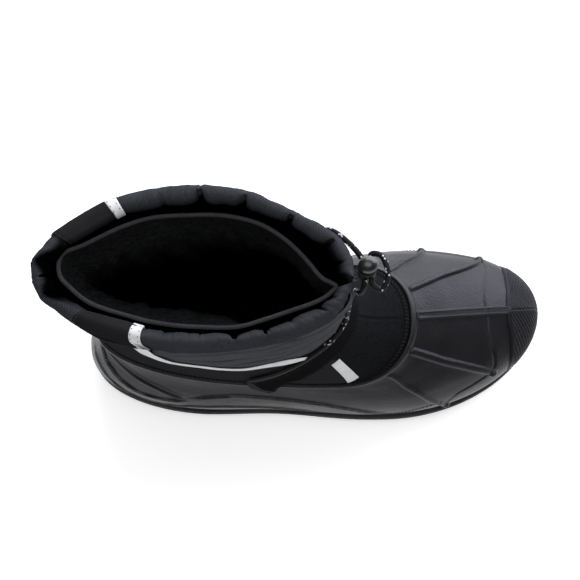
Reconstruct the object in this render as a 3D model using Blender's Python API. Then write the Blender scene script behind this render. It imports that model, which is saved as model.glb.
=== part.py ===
"""Waterproof pull-on winter boot, right foot.

Axes: +X to the toe, +Y to the inner (medial) side, +Z up.
Tables are in millimetres, measured from the back of the heel, and the
finished boot is moved so that its box stands centred on the origin.
"""
import math

import bmesh
import bpy
import numpy as np

for old in list(bpy.data.objects):
    bpy.data.objects.remove(old, do_unlink=True)

MM = 0.001

# ------------------------------------------------------------------ sizes
AROUND = 56            # points around the foot
SHELL_WALL = 3.0       # moulded rubber
RIM_WIDTH = 3.8        # thick top edge of the shell
RIM_PROUD = 1.1
CLEAR = 0.3            # gap between pieces
UPPER_WALL = 2.8       # fabric with its lining
UPPER_SINK = 0.8       # the fabric lies this far under the outline
LAP = 8.0              # fabric tucked down inside the shell
COLLAR_START = 1.885   # height parameter where the padded roll begins
SOLE_TOP = 19.0        # top of the outsole at the heel
FLANGE = 2.6           # outsole stands out from the shell
INSOLE_THICK = 4.0
STRAP_THICK = 2.0
CORD_D = 3.2
PRESS = 3.6            # plunger travel

# Rings of the outline from the sole's edge (v 0) over the shell's top
# edge (v 1) to the top of the collar (v 2).
RING_COLUMNS = ("v", "x_back", "x_front", "x_wide", "z_back", "z_side",
                "z_front", "w_lat", "w_med", "n_back", "n_front",
                "pinch_lat", "pinch_med", "y_mid", "y_front")
RINGS = np.array([
    (0.00,  4.0, 293.0, 194.0,  19.0,  19.0,  19.0, 54.0, 53.0, 2.30, 2.10, 6.5, 14.0, 0.0,   6.0),
    (0.15,  1.0, 296.0, 194.0,  34.0,  31.0,  33.0, 55.5, 54.5, 2.30, 2.10, 6.0, 13.0, 0.0,   6.0),
    (0.30,  2.0, 292.5, 193.0,  47.0,  42.0,  45.0, 54.0, 53.0, 2.25, 2.10, 5.5, 12.0, 0.0,   6.0),
    (0.45,  4.0, 282.0, 190.0,  57.0,  50.0,  54.5, 50.5, 49.5, 2.15, 2.10, 5.0, 10.0, 0.0,   5.0),
    (0.60,  6.5, 265.0, 184.0,  65.0,  55.5,  62.0, 46.5, 45.5, 2.05, 2.15, 4.0,  8.0, 0.0,   4.0),
    (0.80,  9.5, 238.0, 174.0,  75.0,  60.0,  72.0, 43.0, 42.0, 1.95, 2.20, 3.0,  5.0, 0.0,   2.0),
    (1.00, 12.0, 209.0, 163.0,  85.0,  64.0,  83.0, 40.5, 39.0, 1.90, 2.25, 1.5,  3.0, 0.0,   0.0),
    (1.20, 12.0, 188.0, 143.0, 103.0,  92.0, 100.0, 38.5, 37.5, 1.92, 2.15, 0.0,  0.0, 0.5,  -2.0),
    (1.40, 10.0, 173.0, 116.0, 130.0, 124.0, 126.0, 38.0, 37.5, 1.96, 2.05, 0.0,  0.0, 1.5,  -4.0),
    (1.60,  6.0, 165.0,  98.0, 165.0, 160.0, 160.0, 39.5, 39.0, 2.00, 2.00, 0.0,  0.0, 2.5,  -8.0),
    (1.80,  1.0, 164.0,  88.0, 205.0, 201.0, 201.0, 42.5, 42.0, 2.00, 1.95, 0.0,  0.0, 3.5, -12.0),
    (2.00, -4.0, 168.5,  82.0, 246.0, 243.0, 243.0, 46.0, 45.0, 2.00, 1.85, 0.0,  0.0, 4.5, -16.0),
])
# Rise of the sole's edge along the foot: arch, ball and toe spring.
SPRING = np.array([(0, 0.0), (40, 0.0), (110, -1.5), (200, -4.0),
                   (235, -3.5), (270, 1.5), (298, 9.0)])
# Underside of the sole: x, height of the lug faces, height of the grooves.
TREAD = np.array([
    # x     lug   groove
    (0.0,   2.0,  5.5),
    (9.0,   0.0,  5.0),
    (76.0,  0.0,  5.0),
    (86.0,  3.0,  7.5),
    (112.0, 4.0,  8.0),
    (142.0, 2.0,  6.5),
    (154.0, 0.0,  5.0),
    (236.0, 0.0,  5.0),
    (262.0, 3.0,  8.0),
    (284.0, 8.0, 12.5),
    (300.0, 13.0, 17.0),
])
SOLE_STRIPS = 34                   # strips from heel to toe
SOLE_COLUMNS = np.array([0.0, 0.21, 0.31, 0.455, 0.545, 0.69, 0.79, 1.0])
ARCH = (84.0, 148.0)
# Edges of the instep strap, from the outer tab to the middle of the front.
STRAP = [
    # th_top v_top  th_low v_low
    (67.8,  1.085, 66.8,  0.80),
    (69.0,  1.136, 68.5,  0.69),
    (74.3,  1.212, 73.8,  1.04),
    (81.2,  1.268, 78.5,  1.12),
    (90.4,  1.335, 83.7,  1.19),
    (103.9, 1.390, 92.4,  1.25),
    (117.0, 1.442, 111.0, 1.31),
    (130.0, 1.496, 128.0, 1.355),
    (146.0, 1.550, 145.0, 1.385),
    (163.0, 1.575, 163.0, 1.402),
    (180.0, 1.580, 180.0, 1.405),
]
# Top edge of the toe bumper: angle from its middle, height parameter.
BUMPER = np.array([(0, 0.525), (12, 0.508), (22, 0.462), (30, 0.390), (37, 0.300), (44, 0.240)])
BUMPER_MID = 181.0
BUMPER_HALF = 42.0
BUMPER_PROUD = 2.2
# Section of the padded collar roll: inset from the outline, height v.
COLLAR = [
    (0.6, 1.885), (-0.1, 1.905), (-0.5, 1.94), (0.0, 1.972), (2.0, 1.992),
    (4.8, 2.000), (7.6, 1.992), (9.2, 1.972), (9.7, 1.94), (9.3, 1.905),
    (8.6, 1.885),
]
# Cord lock: middle, heights of barrel and button.
LOCK = dict(x=174.6, y=-0.4, z_low=216.0, z_strand=223.5, z_rim=230.6,
            z_top=240.0, radius=5.2, bore=3.75, cap_x=5.6, cap_y=4.8)


# ------------------------------------------------------------------ form
def hermite(xs, ys, x, level=False):
    xs, ys, x = (np.asarray(k, float) for k in (xs, ys, x))
    step = np.diff(xs)
    slope = np.diff(ys) / step
    m = np.empty_like(ys)
    m[0], m[-1] = slope[0], slope[-1]
    if level:                                  # no overshoot between the rows
        a, b = slope[:-1], slope[1:]
        wa, wb = 2 * step[1:] + step[:-1], step[1:] + 2 * step[:-1]
        same = a * b > 0
        m[1:-1] = np.where(same, (wa + wb) * a * b / np.where(same, wa * b + wb * a, 1.0), 0.0)
    else:
        m[1:-1] = (slope[:-1] * step[1:] + slope[1:] * step[:-1]) / (step[1:] + step[:-1])
    i = np.clip(np.searchsorted(xs, x) - 1, 0, len(xs) - 2)
    t = (x - xs[i]) / step[i]
    return ((1 + 2 * t) * (1 - t) ** 2 * ys[i] + t * (1 - t) ** 2 * step[i] * m[i]
            + t * t * (3 - 2 * t) * ys[i + 1] + t * t * (t - 1) * step[i] * m[i + 1])


def smooth(a, b, x):
    t = np.clip((np.asarray(x, float) - a) / (b - a), 0, 1)
    return t * t * (3 - 2 * t)


def spring(x):
    return hermite(SPRING[:, 0], SPRING[:, 1], x)


def env(th, v, inset=0.0):
    """Outline point in mm. th: 0 back, 90 outer side, 180 toe, 270 inner side."""
    th, v, inset = np.broadcast_arrays(np.radians(np.asarray(th, float)),
                                       np.asarray(v, float), np.asarray(inset, float))
    g = {c: hermite(RINGS[:, 0], RINGS[:, i], v, level=c in ("z_back", "z_side", "z_front")) for i, c in enumerate(RING_COLUMNS) if i}
    c, s = np.cos(th), np.sin(th)
    back = c > 0
    n = np.where(back, g["n_back"], g["n_front"])
    a = np.where(back, g["x_wide"] - g["x_back"], g["x_front"] - g["x_wide"]) - inset
    w = np.where(s > 0, g["w_lat"], g["w_med"]) - inset
    q = np.abs(c) ** (2 / n)
    x = g["x_wide"] - np.sign(c) * a * q
    pinch = np.where(s > 0, g["pinch_lat"], g["pinch_med"]) * np.exp(-((x - 118.0) / 48.0) ** 2)
    y = (-np.sign(s) * w * np.abs(s) ** (2 / n) + np.sign(s) * pinch * np.abs(s)
         + g["y_mid"] + np.where(back, 0.0, g["y_front"]) * q ** 2)
    z = g["z_side"] + (np.where(back, g["z_back"], g["z_front"]) - g["z_side"]) * q ** 1.6
    z = z + spring(x) * (1 - smooth(0.0, 0.7, v))
    return np.stack([x, y, z], -1)


def normal(th, v):
    e = 1e-3
    lo, hi = np.clip(np.asarray(v, float) - e, 0, 2), np.clip(np.asarray(v, float) + e, 0, 2)
    n = np.cross(env(np.asarray(th, float) + 0.06, v) - env(np.asarray(th, float) - 0.06, v),
                 env(th, hi) - env(th, lo))
    return n / np.linalg.norm(n, axis=-1, keepdims=True)


def surf(th, v, off):
    th, v, off = np.broadcast_arrays(np.asarray(th, float), np.asarray(v, float),
                                     np.asarray(off, float))
    return env(th, v) + normal(th, v) * off[..., None]


def v_below_rim(th, dist):
    """Height parameter at a distance, along the shell, under its top edge."""
    vs = np.linspace(0.0, 1.0, 161)
    out = []
    for t in np.atleast_1d(th):
        p = env(np.full_like(vs, t), vs)[::-1]
        run = np.concatenate([[0], np.cumsum(np.linalg.norm(np.diff(p, axis=0), axis=1))])
        out.append(np.interp(dist, run, vs[::-1]))
    return np.array(out)


def upper_off(v):
    """Outer face of the fabric: under the shell up to its rim, then near the outline."""
    return -(SHELL_WALL + CLEAR) + (SHELL_WALL + CLEAR - UPPER_SINK) * smooth(1.0, 1.15, v)


def over_off(v):
    """Underside of what lies over the shell's rim and the fabric."""
    return (RIM_PROUD + CLEAR) + (-UPPER_SINK + CLEAR - RIM_PROUD - CLEAR) * smooth(1.04, 1.16, v)


# ------------------------------------------------------------------ building
PIECES = {}


def material(name, colour, roughness):
    mat = bpy.data.materials.new(name)
    mat.use_nodes = True
    node = mat.node_tree.nodes["Principled BSDF"]
    node.inputs["Base Color"].default_value = (*colour, 1.0)
    node.inputs["Roughness"].default_value = roughness
    return mat


def piece(name, verts, faces, mat):
    mesh = bpy.data.meshes.new(name)
    mesh.from_pydata([tuple(float(k) for k in p) for p in verts], [], faces)
    bm = bmesh.new()
    bm.from_mesh(mesh)
    bmesh.ops.remove_doubles(bm, verts=bm.verts, dist=1e-4)
    bmesh.ops.dissolve_degenerate(bm, edges=bm.edges, dist=1e-4)
    bmesh.ops.triangulate(bm, faces=bm.faces)
    bmesh.ops.recalc_face_normals(bm, faces=bm.faces)
    bm.to_mesh(mesh)
    bm.free()
    ob = bpy.data.objects.new(name, mesh)
    bpy.context.scene.collection.objects.link(ob)
    mesh.materials.append(mat)
    PIECES[name] = ob
    return ob


def loop_faces(rows, count, close_rows=True):
    faces = []
    last = rows if close_rows else rows - 1
    for r in range(last):
        a, b = r * count, ((r + 1) % rows) * count
        for i in range(count):
            j = (i + 1) % count
            faces.append((a + i, a + j, b + j, b + i))
    return faces


def ring_solid(name, rows, mat):
    """Closed tube wall from rings of equal count, the last joined to the first."""
    count = len(rows[0])
    return piece(name, np.concatenate(rows), loop_faces(len(rows), count), mat)


def patch_solid(name, outer, inner, mat):
    """Closed sheet from two matching grids of points."""
    m, n = outer.shape[:2]
    verts = np.concatenate([outer.reshape(-1, 3), inner.reshape(-1, 3)])
    idx = lambda i, j, k: k * m * n + i * n + j
    faces = []
    for i in range(m - 1):
        for j in range(n - 1):
            faces.append((idx(i, j, 0), idx(i + 1, j, 0), idx(i + 1, j + 1, 0), idx(i, j + 1, 0)))
            faces.append((idx(i, j, 1), idx(i, j + 1, 1), idx(i + 1, j + 1, 1), idx(i + 1, j, 1)))
    for i in range(m - 1):
        for j in (0, n - 1):
            faces.append((idx(i, j, 0), idx(i, j, 1), idx(i + 1, j, 1), idx(i + 1, j, 0)))
    for j in range(n - 1):
        for i in (0, m - 1):
            faces.append((idx(i, j, 0), idx(i, j + 1, 0), idx(i, j + 1, 1), idx(i, j, 1)))
    return piece(name, verts, faces, mat)


def curve_points(points, count):
    p = np.asarray(points, float)
    run = np.concatenate([[0], np.cumsum(np.linalg.norm(np.diff(p, axis=0), axis=1))])
    s = np.linspace(0, run[-1], count)
    return np.stack([hermite(run, p[:, k], s) for k in range(3)], -1)


def tube(name, points, count, sides, diameter, mat):
    p = curve_points(points, count)
    tan = np.gradient(p, axis=0)
    tan /= np.linalg.norm(tan, axis=1, keepdims=True)
    ref = np.array([0.0, 0.0, 1.0]) if abs(tan[0][2]) < 0.8 else np.array([1.0, 0.0, 0.0])
    rows = []
    for k in range(count):
        side = np.cross(tan[k], ref)
        side /= np.linalg.norm(side)
        ref = np.cross(side, tan[k])
        ang = np.linspace(0, 2 * math.pi, sides, endpoint=False)
        rows.append(p[k] + diameter / 2 * (np.cos(ang)[:, None] * side + np.sin(ang)[:, None] * ref))
    faces = loop_faces(count, sides, close_rows=False)
    faces.append(tuple(range(sides - 1, -1, -1)))
    faces.append(tuple((count - 1) * sides + i for i in range(sides)))
    return piece(name, np.concatenate(rows), faces, mat)


def lathe(name, profile, centre, sides, mat, stretch=(1.0, 1.0)):
    """Solid of revolution about Z. profile: (radius, z, oval) from axis to axis."""
    ang = np.linspace(0, 2 * math.pi, sides, endpoint=False)
    rows = []
    for r, z, oval in profile:
        sx = 1 + (stretch[0] - 1) * oval
        sy = 1 + (stretch[1] - 1) * oval
        rows.append(np.stack([centre[0] + r * sx * np.cos(ang), centre[1] + r * sy * np.sin(ang),
                              np.full(sides, z)], -1))
    faces = loop_faces(len(rows), sides, close_rows=False)
    faces.append(tuple(range(sides - 1, -1, -1)))
    faces.append(tuple((len(rows) - 1) * sides + i for i in range(sides)))
    return piece(name, np.concatenate(rows), faces, mat)


RUBBER = material("shell_rubber", (0.030, 0.031, 0.033), 0.45)
SOLE_RUBBER = material("sole_rubber", (0.026, 0.026, 0.027), 0.62)
BUMPER_RUBBER = material("bumper_rubber", (0.034, 0.034, 0.036), 0.58)
CLOTH = material("upper_cloth", (0.022, 0.023, 0.026), 0.75)
COLLAR_CLOTH = material("collar_cloth", (0.020, 0.021, 0.024), 0.72)
FOAM = material("insole_foam", (0.045, 0.045, 0.048), 0.9)
WEBBING = material("strap_webbing", (0.024, 0.024, 0.025), 0.6)
CORD = material("cord_braid", (0.028, 0.028, 0.030), 0.6)
LOCK_PLASTIC = material("lock_plastic", (0.022, 0.022, 0.024), 0.22)
LOCK_BUTTON = material("lock_button", (0.026, 0.026, 0.028), 0.16)

TH = np.arange(AROUND) * 360.0 / AROUND


# ------------------------------------------------------------------ shell
def lap_rows():
    """Rows shared by the shell's inside and the fabric tucked into it."""
    return [v_below_rim(TH, LAP * k / 3.0) for k in range(4)]


def build_shell():
    v_rim = v_below_rim(TH, RIM_WIDTH)
    v_base = v_below_rim(TH, RIM_WIDTH + 1.0)
    rows = [surf(TH, v_base * t, 0.0)
            for t in (0.0, 0.08, 0.17, 0.27, 0.38, 0.50, 0.62, 0.75, 0.88, 1.0)]
    rows.append(surf(TH, v_rim, RIM_PROUD))
    rows.append(surf(TH, 1.0, RIM_PROUD))
    rows += [surf(TH, v, -SHELL_WALL) for v in lap_rows()]
    rows += [surf(TH, lap_rows()[-1] * t, -SHELL_WALL)
             for t in (0.85, 0.71, 0.57, 0.44, 0.32, 0.21, 0.10, 0.0)]
    # the two bottom edges lie on the sole's top face
    for k in (0, -1):
        rows[k][:, 2] = SOLE_TOP + spring(rows[k][:, 0])
    return ring_solid("shell", rows, RUBBER)


# ------------------------------------------------------------------ upper
def build_upper():
    marks = lap_rows()[::-1]
    marks += [np.full(AROUND, v) for v in (1.05, 1.11, 1.18, 1.29, 1.40, 1.50, 1.62, 1.75)]
    marks.append(np.full(AROUND, COLLAR_START - 0.004))
    rows = [surf(TH, v, upper_off(v)) for v in marks]
    rows += [surf(TH, v, upper_off(v) - UPPER_WALL) for v in marks[::-1]]
    return ring_solid("upper", rows, CLOTH)


# ------------------------------------------------------------------ collar
def build_collar():
    rows = [env(TH, v, inset) for inset, v in COLLAR]
    return ring_solid("collar", rows, COLLAR_CLOTH)


# ------------------------------------------------------------------ strip-built slabs
HALF = AROUND // 2


def edge_stations(count):
    """Angles that divide the outer half of the sole's edge into equal lengths."""
    th = np.linspace(0.0, 180.0, 721)
    p = env(th, 0.0)[:, :2]
    run = np.concatenate([[0], np.cumsum(np.linalg.norm(np.diff(p, axis=0), axis=1))])
    half = np.interp(np.linspace(0, run[-1], count + 1), run, th)
    return np.concatenate([half, 360.0 - half[-2:0:-1]])


def outline(inset, th):
    return env(th, 0.0, inset)[:, :2]


def build_outsole():
    """Strips across the foot. Lug cells hang below the groove level."""
    half, cols = SOLE_STRIPS, len(SOLE_COLUMNS) - 1
    around = 2 * half
    th = edge_stations(half)
    rim, edge = outline(-FLANGE, th), outline(-FLANGE - 0.8, th)
    waist, foot = outline(-FLANGE + 0.4, th), outline(-FLANGE + 1.0, th)
    verts, faces = [], []

    def add(p):
        verts.append(p)
        return len(verts) - 1

    def grid(ring, height, across):
        ids = []
        for i in range(half + 1):
            row = []
            for w in ([0.0] if i in (0, half) else across):
                p = ring[i] * (1 - w) + ring[(around - i) % around] * w
                row.append(add((p[0], p[1], height(p[0]))))
            ids.append(row * (len(across) if len(row) == 1 else 1))
        return ids

    def face(ids):
        out = list(dict.fromkeys(ids))
        if len(out) > 2:
            faces.append(tuple(out))

    top_h = lambda x: SOLE_TOP - CLEAR + float(spring(x))
    lug_h = lambda x: float(np.interp(x, TREAD[:, 0], TREAD[:, 1]))
    groove_h = lambda x: float(np.interp(x, TREAD[:, 0], TREAD[:, 2]))
    top = grid(rim, top_h, np.array([0.0, 0.33, 0.67, 1.0]))
    base, low = grid(foot, groove_h, SOLE_COLUMNS), grid(foot, lug_h, SOLE_COLUMNS)

    def is_lug(i, j):
        if not (0 <= i < half and 0 <= j < cols):
            return False
        if i < 2 or i >= half - 2:                          # heel and toe tips
            return True
        x = 0.5 * (foot[i][0] + foot[i + 1][0])
        if j in (0, cols - 1):                              # edge lugs
            return i % 3 != 1
        if ARCH[0] < x < ARCH[1] or i < 4 or i >= half - 4:
            return False
        return j in (2, 4) and i % 3 != 2                   # middle lugs

    for i in range(half):
        for j in range(3):
            face((top[i][j], top[i][j + 1], top[i + 1][j + 1], top[i + 1][j]))
        for j in range(cols):
            ids = low if is_lug(i, j) else base
            face((ids[i][j], ids[i + 1][j], ids[i + 1][j + 1], ids[i][j + 1]))
            if not is_lug(i, j):
                continue
            for (di, dj), (a, b) in (((-1, 0), ((i, j), (i, j + 1))),
                                     ((1, 0), ((i + 1, j), (i + 1, j + 1))),
                                     ((0, -1), ((i, j), (i + 1, j))),
                                     ((0, 1), ((i, j + 1), (i + 1, j + 1)))):
                if not is_lug(i + di, j + dj):
                    face((base[a[0]][a[1]], base[b[0]][b[1]], low[b[0]][b[1]], low[a[0]][a[1]]))

    # side wall: top edge, flange, and back in to the foot line at groove level
    def wall_ring(ring, share):
        out = []
        for i in range(around):
            zt, zg = top_h(rim[i][0]), groove_h(foot[i][0])
            out.append(add((ring[i][0], ring[i][1], zg + (zt - zg) * share)))
        return out

    top_ring = [top[i][0] if i <= half else top[around - i][-1] for i in range(around)]
    base_ring = [base[i][0] if i <= half else base[around - i][-1] for i in range(around)]
    rings = [top_ring, wall_ring(edge, 0.80), wall_ring(edge, 0.55), wall_ring(waist, 0.42), base_ring]
    for a, b in zip(rings[:-1], rings[1:]):
        for i in range(around):
            j = (i + 1) % around
            face((a[i], a[j], b[j], b[i]))
    return piece("outsole", verts, faces, SOLE_RUBBER)


def build_insole():
    ring = outline(SHELL_WALL + 1.4, TH)
    across = np.array([0.0, 0.25, 0.5, 0.75, 1.0])
    verts, faces = [], []

    def grid(lift):
        ids = []
        for i in range(HALF + 1):
            row = []
            for w in ([0.0] if i in (0, HALF) else across):
                p = ring[i] * (1 - w) + ring[(AROUND - i) % AROUND] * w
                verts.append((p[0], p[1], SOLE_TOP + float(spring(p[0])) + lift))
                row.append(len(verts) - 1)
            ids.append(row * (len(across) if len(row) == 1 else 1))
        return ids

    low, top = grid(CLEAR), grid(CLEAR + INSOLE_THICK)

    def face(ids):
        out = list(dict.fromkeys(ids))
        if len(out) > 2:
            faces.append(tuple(out))

    for i in range(HALF):
        for j in range(len(across) - 1):
            face((top[i][j], top[i][j + 1], top[i + 1][j + 1], top[i + 1][j]))
            face((low[i][j], low[i + 1][j], low[i + 1][j + 1], low[i][j + 1]))
        for j in (0, len(across) - 1):
            face((low[i][j], low[i + 1][j], top[i + 1][j], top[i][j]))
    return piece("insole", verts, faces, FOAM)


# ------------------------------------------------------------------ overlays
def build_bumper():
    th = np.linspace(BUMPER_MID - BUMPER_HALF, BUMPER_MID + BUMPER_HALF, 25)
    v_top = hermite(BUMPER[:, 0], BUMPER[:, 1], np.abs(th - BUMPER_MID))
    share = np.array([0.0, 0.15, 0.30, 0.45, 0.60, 0.75, 0.89, 1.0])
    lift = np.array([1.0, 1.0, 1.0, 1.0, 1.0, 1.0, 0.95, 0.55])
    v = 0.03 + (v_top[:, None] - 0.03) * share[None, :]
    t = np.repeat(th[:, None], len(share), axis=1)
    ends = np.clip((BUMPER_HALF - np.abs(t - BUMPER_MID)) / 5.0, 0.45, 1.0)
    outer = surf(t, v, CLEAR + BUMPER_PROUD * lift[None, :] * ends)
    inner = surf(t, v, CLEAR + 0.15)
    return patch_solid("toe_bumper", outer, inner, BUMPER_RUBBER)


def strap_grid(off):
    half = np.array(STRAP)
    mark = np.arange(len(half), dtype=float)
    fine = np.linspace(0, mark[-1], 21)
    half = np.stack([hermite(mark, half[:, k], fine) for k in range(4)], -1)
    rows = [tuple(r) for r in half]
    rows += [(360 - a, b, 360 - c, d) for a, b, c, d in rows[-2::-1]]
    share = np.linspace(0, 1, 4)
    t = np.array([[a + (c - a) * s for s in share] for a, b, c, d in rows])
    v = np.array([[b + (d - b) * s for s in share] for a, b, c, d in rows])
    return surf(t, v, over_off(v) + 0.4 + off)


def build_strap():
    return patch_solid("strap", strap_grid(STRAP_THICK), strap_grid(0.0), WEBBING)


# ------------------------------------------------------------------ drawcord and lock
def strand(side, along):
    """Point where a strand meets the lock's wall. side -1 outer, +1 inner."""
    reach = LOCK["radius"] + CLEAR + 0.2
    return np.array([LOCK["x"] + along, LOCK["y"] + side * reach, LOCK["z_strand"]])


def build_cords():
    above, lift = 0.026, CORD_D / 2 + CLEAR - UPPER_SINK + 0.3
    edge = [(a, b + above) for a, b, c, d in STRAP[2:-1]]
    run = [surf(t, v, lift) for t, v in edge]
    run += [surf(172.0, 1.655, lift + 0.3), surf(177.0, 1.74, lift + 0.8), surf(181.0, 1.82, lift + 2.2)]
    start = strand(-1, -2.0)
    run += [start + np.array([-1.2, -4.6, -4.2]), start + np.array([-0.1, -2.2, -0.7]), start]
    tube("drawcord_lateral", run, 32, 6, CORD_D, CORD)

    start = strand(1, -2.0)
    run = [start, start + np.array([-1.5, 2.6, 0.4]), (165.0, 15.5, 225.0), (157.5, 22.5, 223.0),
           surf(219.0, 1.865, lift + 3.2), surf(226.0, 1.845, lift + 0.7), surf(233.0, 1.83, lift)]
    tube("drawcord_medial", run, 20, 6, CORD_D, CORD)

    a, b = strand(1, 1.9), strand(-1, 1.9)
    run = [a, a + np.array([0.9, 2.6, 0.9]), (181.8, 7.0, 226.0), (185.0, 0.4, 226.8),
           (185.0, -7.0, 224.6), (181.0, -11.6, 222.4), b + np.array([0.5, -2.6, -0.4]), b]
    tube("cord_loop", run, 26, 6, CORD_D, CORD)


def build_lock():
    z0, z1, r, bore = LOCK["z_low"], LOCK["z_rim"], LOCK["radius"], LOCK["bore"]
    centre = (LOCK["x"], LOCK["y"])
    lathe("cord_lock_barrel",
          [(r - 0.9, z0, 0), (r - 0.25, z0 + 0.5, 0), (r, z0 + 1.4, 0), (r, z1 - 0.5, 0),
           (r - 0.5, z1, 0), (bore + 0.2, z1, 0), (bore, z1 - 0.3, 0), (bore, z0 + 2.0, 0)],
          centre, 16, LOCK_PLASTIC)
    zc = z1 + PRESS + 0.4
    top = LOCK["z_top"]
    stem = bore - CLEAR
    # the button is built about its own axis and then placed there
    lathe("cord_lock_plunger",
          [(stem - 0.4, z0 + 2.4 + PRESS, 0), (stem, z0 + 2.8 + PRESS, 0), (stem, zc, 0),
           (4.9, zc, 1), (5.2, zc + 0.5, 1), (5.2, zc + 1.6, 1), (4.7, zc + 3.0, 1),
           (3.6, zc + 4.2, 1), (2.0, top - 0.25, 1), (0.6, top, 1)],
          centre, 16, LOCK_BUTTON, (LOCK["cap_x"] / 5.2, LOCK["cap_y"] / 5.2))


build_outsole()
build_shell()
build_upper()
build_insole()
build_collar()
build_bumper()
build_strap()
build_cords()
build_lock()

# ------------------------------------------------------------------ to metres, centred
box = np.array([v.co[:] for n, ob in PIECES.items() if n != "cord_loop" for v in ob.data.vertices])
low, high = box.min(axis=0), box.max(axis=0)
shift = np.array([(low[0] + high[0]) / 2, (low[1] + high[1]) / 2, low[2]])
for name, ob in PIECES.items():
    for vert in ob.data.vertices:
        vert.co = [(vert.co[k] - shift[k]) * MM for k in range(3)]
    ob.data.update()

# the button's origin lies on its axis
axis = np.array([LOCK["x"] - shift[0], LOCK["y"] - shift[1], LOCK["z_rim"] - shift[2]]) * MM
button = PIECES["cord_lock_plunger"]
for vert in button.data.vertices:
    vert.co = [vert.co[k] - axis[k] for k in range(3)]
button.location = axis
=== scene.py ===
"""Waterproof winter boot: rubber shell and outsole, fabric upper, gathered collar with drawcord and lock."""
import bpy
import math
import numpy as np
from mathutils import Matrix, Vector


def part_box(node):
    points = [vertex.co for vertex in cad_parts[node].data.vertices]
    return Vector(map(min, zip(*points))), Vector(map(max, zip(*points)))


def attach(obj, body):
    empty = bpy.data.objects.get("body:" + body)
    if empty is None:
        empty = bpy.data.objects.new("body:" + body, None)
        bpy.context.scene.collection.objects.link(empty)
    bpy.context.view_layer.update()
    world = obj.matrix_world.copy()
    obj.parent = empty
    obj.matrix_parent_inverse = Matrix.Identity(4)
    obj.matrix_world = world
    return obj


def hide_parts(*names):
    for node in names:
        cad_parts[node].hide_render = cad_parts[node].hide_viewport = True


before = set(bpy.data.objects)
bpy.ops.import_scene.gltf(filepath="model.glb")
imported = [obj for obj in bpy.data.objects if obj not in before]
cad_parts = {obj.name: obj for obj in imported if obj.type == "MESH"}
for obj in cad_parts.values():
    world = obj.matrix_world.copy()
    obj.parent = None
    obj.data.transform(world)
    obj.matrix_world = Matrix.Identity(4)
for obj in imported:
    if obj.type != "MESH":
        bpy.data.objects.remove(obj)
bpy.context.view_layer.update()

# ---------------------------------------------------------------- sizes, in mm, table frame
# X runs from the heel back to the toe, the outer side is -Y
SHELL_WALL, RIM_WIDTH, RIM_PROUD, CLEAR = 3.0, 3.8, 1.1, 0.3
UPPER_WALL, UPPER_SINK = 2.8, 0.8
SOLE_TOP, FLANGE, INSOLE_THICK = 19.0, 2.6, 4.0
STRAP_THICK, CORD_D, PRESS = 2.0, 3.2, 3.6

RING_COLUMNS = ("v", "x_back", "x_front", "x_wide", "z_back", "z_side", "z_front", "w_lat", "w_med",
                "n_back", "n_front", "pinch_lat", "pinch_med", "y_mid", "y_front")
RINGS = np.array([
    (0.00, 4, 293, 194, 19, 19, 19, 54, 53, 2.30, 2.10, 6.5, 14, 0, 6),
    (0.15, 1, 296, 194, 34, 31, 33, 55.5, 54.5, 2.30, 2.10, 6, 13, 0, 6),
    (0.30, 2, 292.5, 193, 47, 42, 45, 54, 53, 2.25, 2.10, 5.5, 12, 0, 6),
    (0.45, 4, 282, 190, 57, 50, 54.5, 50.5, 49.5, 2.15, 2.10, 5, 10, 0, 5),
    (0.60, 6.5, 265, 184, 65, 55.5, 62, 46.5, 45.5, 2.05, 2.15, 4, 8, 0, 4),
    (0.80, 9.5, 238, 174, 75, 60, 72, 43, 42, 1.95, 2.20, 3, 5, 0, 2),
    (1.00, 12, 209, 163, 85, 64, 83, 40.5, 39, 1.90, 2.25, 1.5, 3, 0, 0),
    (1.20, 12, 188, 143, 103, 92, 100, 38.5, 37.5, 1.92, 2.15, 0, 0, 0.5, -2),
    (1.40, 10, 173, 116, 130, 124, 126, 38, 37.5, 1.96, 2.05, 0, 0, 1.5, -4),
    (1.60, 6, 165, 98, 165, 160, 160, 39.5, 39, 2.00, 2.00, 0, 0, 2.5, -8),
    (1.80, 1, 164, 88, 205, 201, 201, 42.5, 42, 2.00, 1.95, 0, 0, 3.5, -12),
    (2.00, -4, 168.5, 82, 246, 243, 243, 46, 45, 2.00, 1.85, 0, 0, 4.5, -16)])
SPRING = np.array([(0, 0.0), (40, 0.0), (110, -1.5), (200, -4.0), (235, -3.5), (270, 1.5), (298, 9.0)])
TREAD = np.array([(0, 2, 5.5), (9, 0, 5), (76, 0, 5), (86, 3, 7.5), (112, 4, 8), (142, 2, 6.5),
                  (154, 0, 5), (236, 0, 5), (262, 3, 8), (284, 8, 12.5), (300, 13, 17)], float)
SOLE_STRIPS = 34
SOLE_COLUMNS = np.array([0.0, 0.21, 0.31, 0.455, 0.545, 0.69, 0.79, 1.0])
ARCH = (84.0, 148.0)
STRAP = np.array([
    (67.8, 1.085, 66.8, 0.80), (69, 1.136, 68.5, 0.69), (74.3, 1.212, 73.8, 1.04),
    (81.2, 1.268, 78.5, 1.12), (90.4, 1.335, 83.7, 1.19), (103.9, 1.39, 92.4, 1.25),
    (117, 1.442, 111, 1.31), (130, 1.496, 128, 1.355), (146, 1.55, 145, 1.385),
    (163, 1.575, 163, 1.402), (180, 1.58, 180, 1.405)])
BUMPER = np.array([(0, 0.525), (9, 0.487), (18.3, 0.42), (28, 0.335), (35, 0.25), (39, 0.15)])
BUMPER_MID, BUMPER_HALF, BUMPER_PROUD = 179.5, 38.5, 1.1
LOCK = dict(x=174.6, y=-0.4, z_low=216.0, z_strand=223.5, z_rim=230.6, z_top=240.0,
            radius=5.2, bore=3.75, cap_x=5.6, cap_y=4.8)

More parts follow.
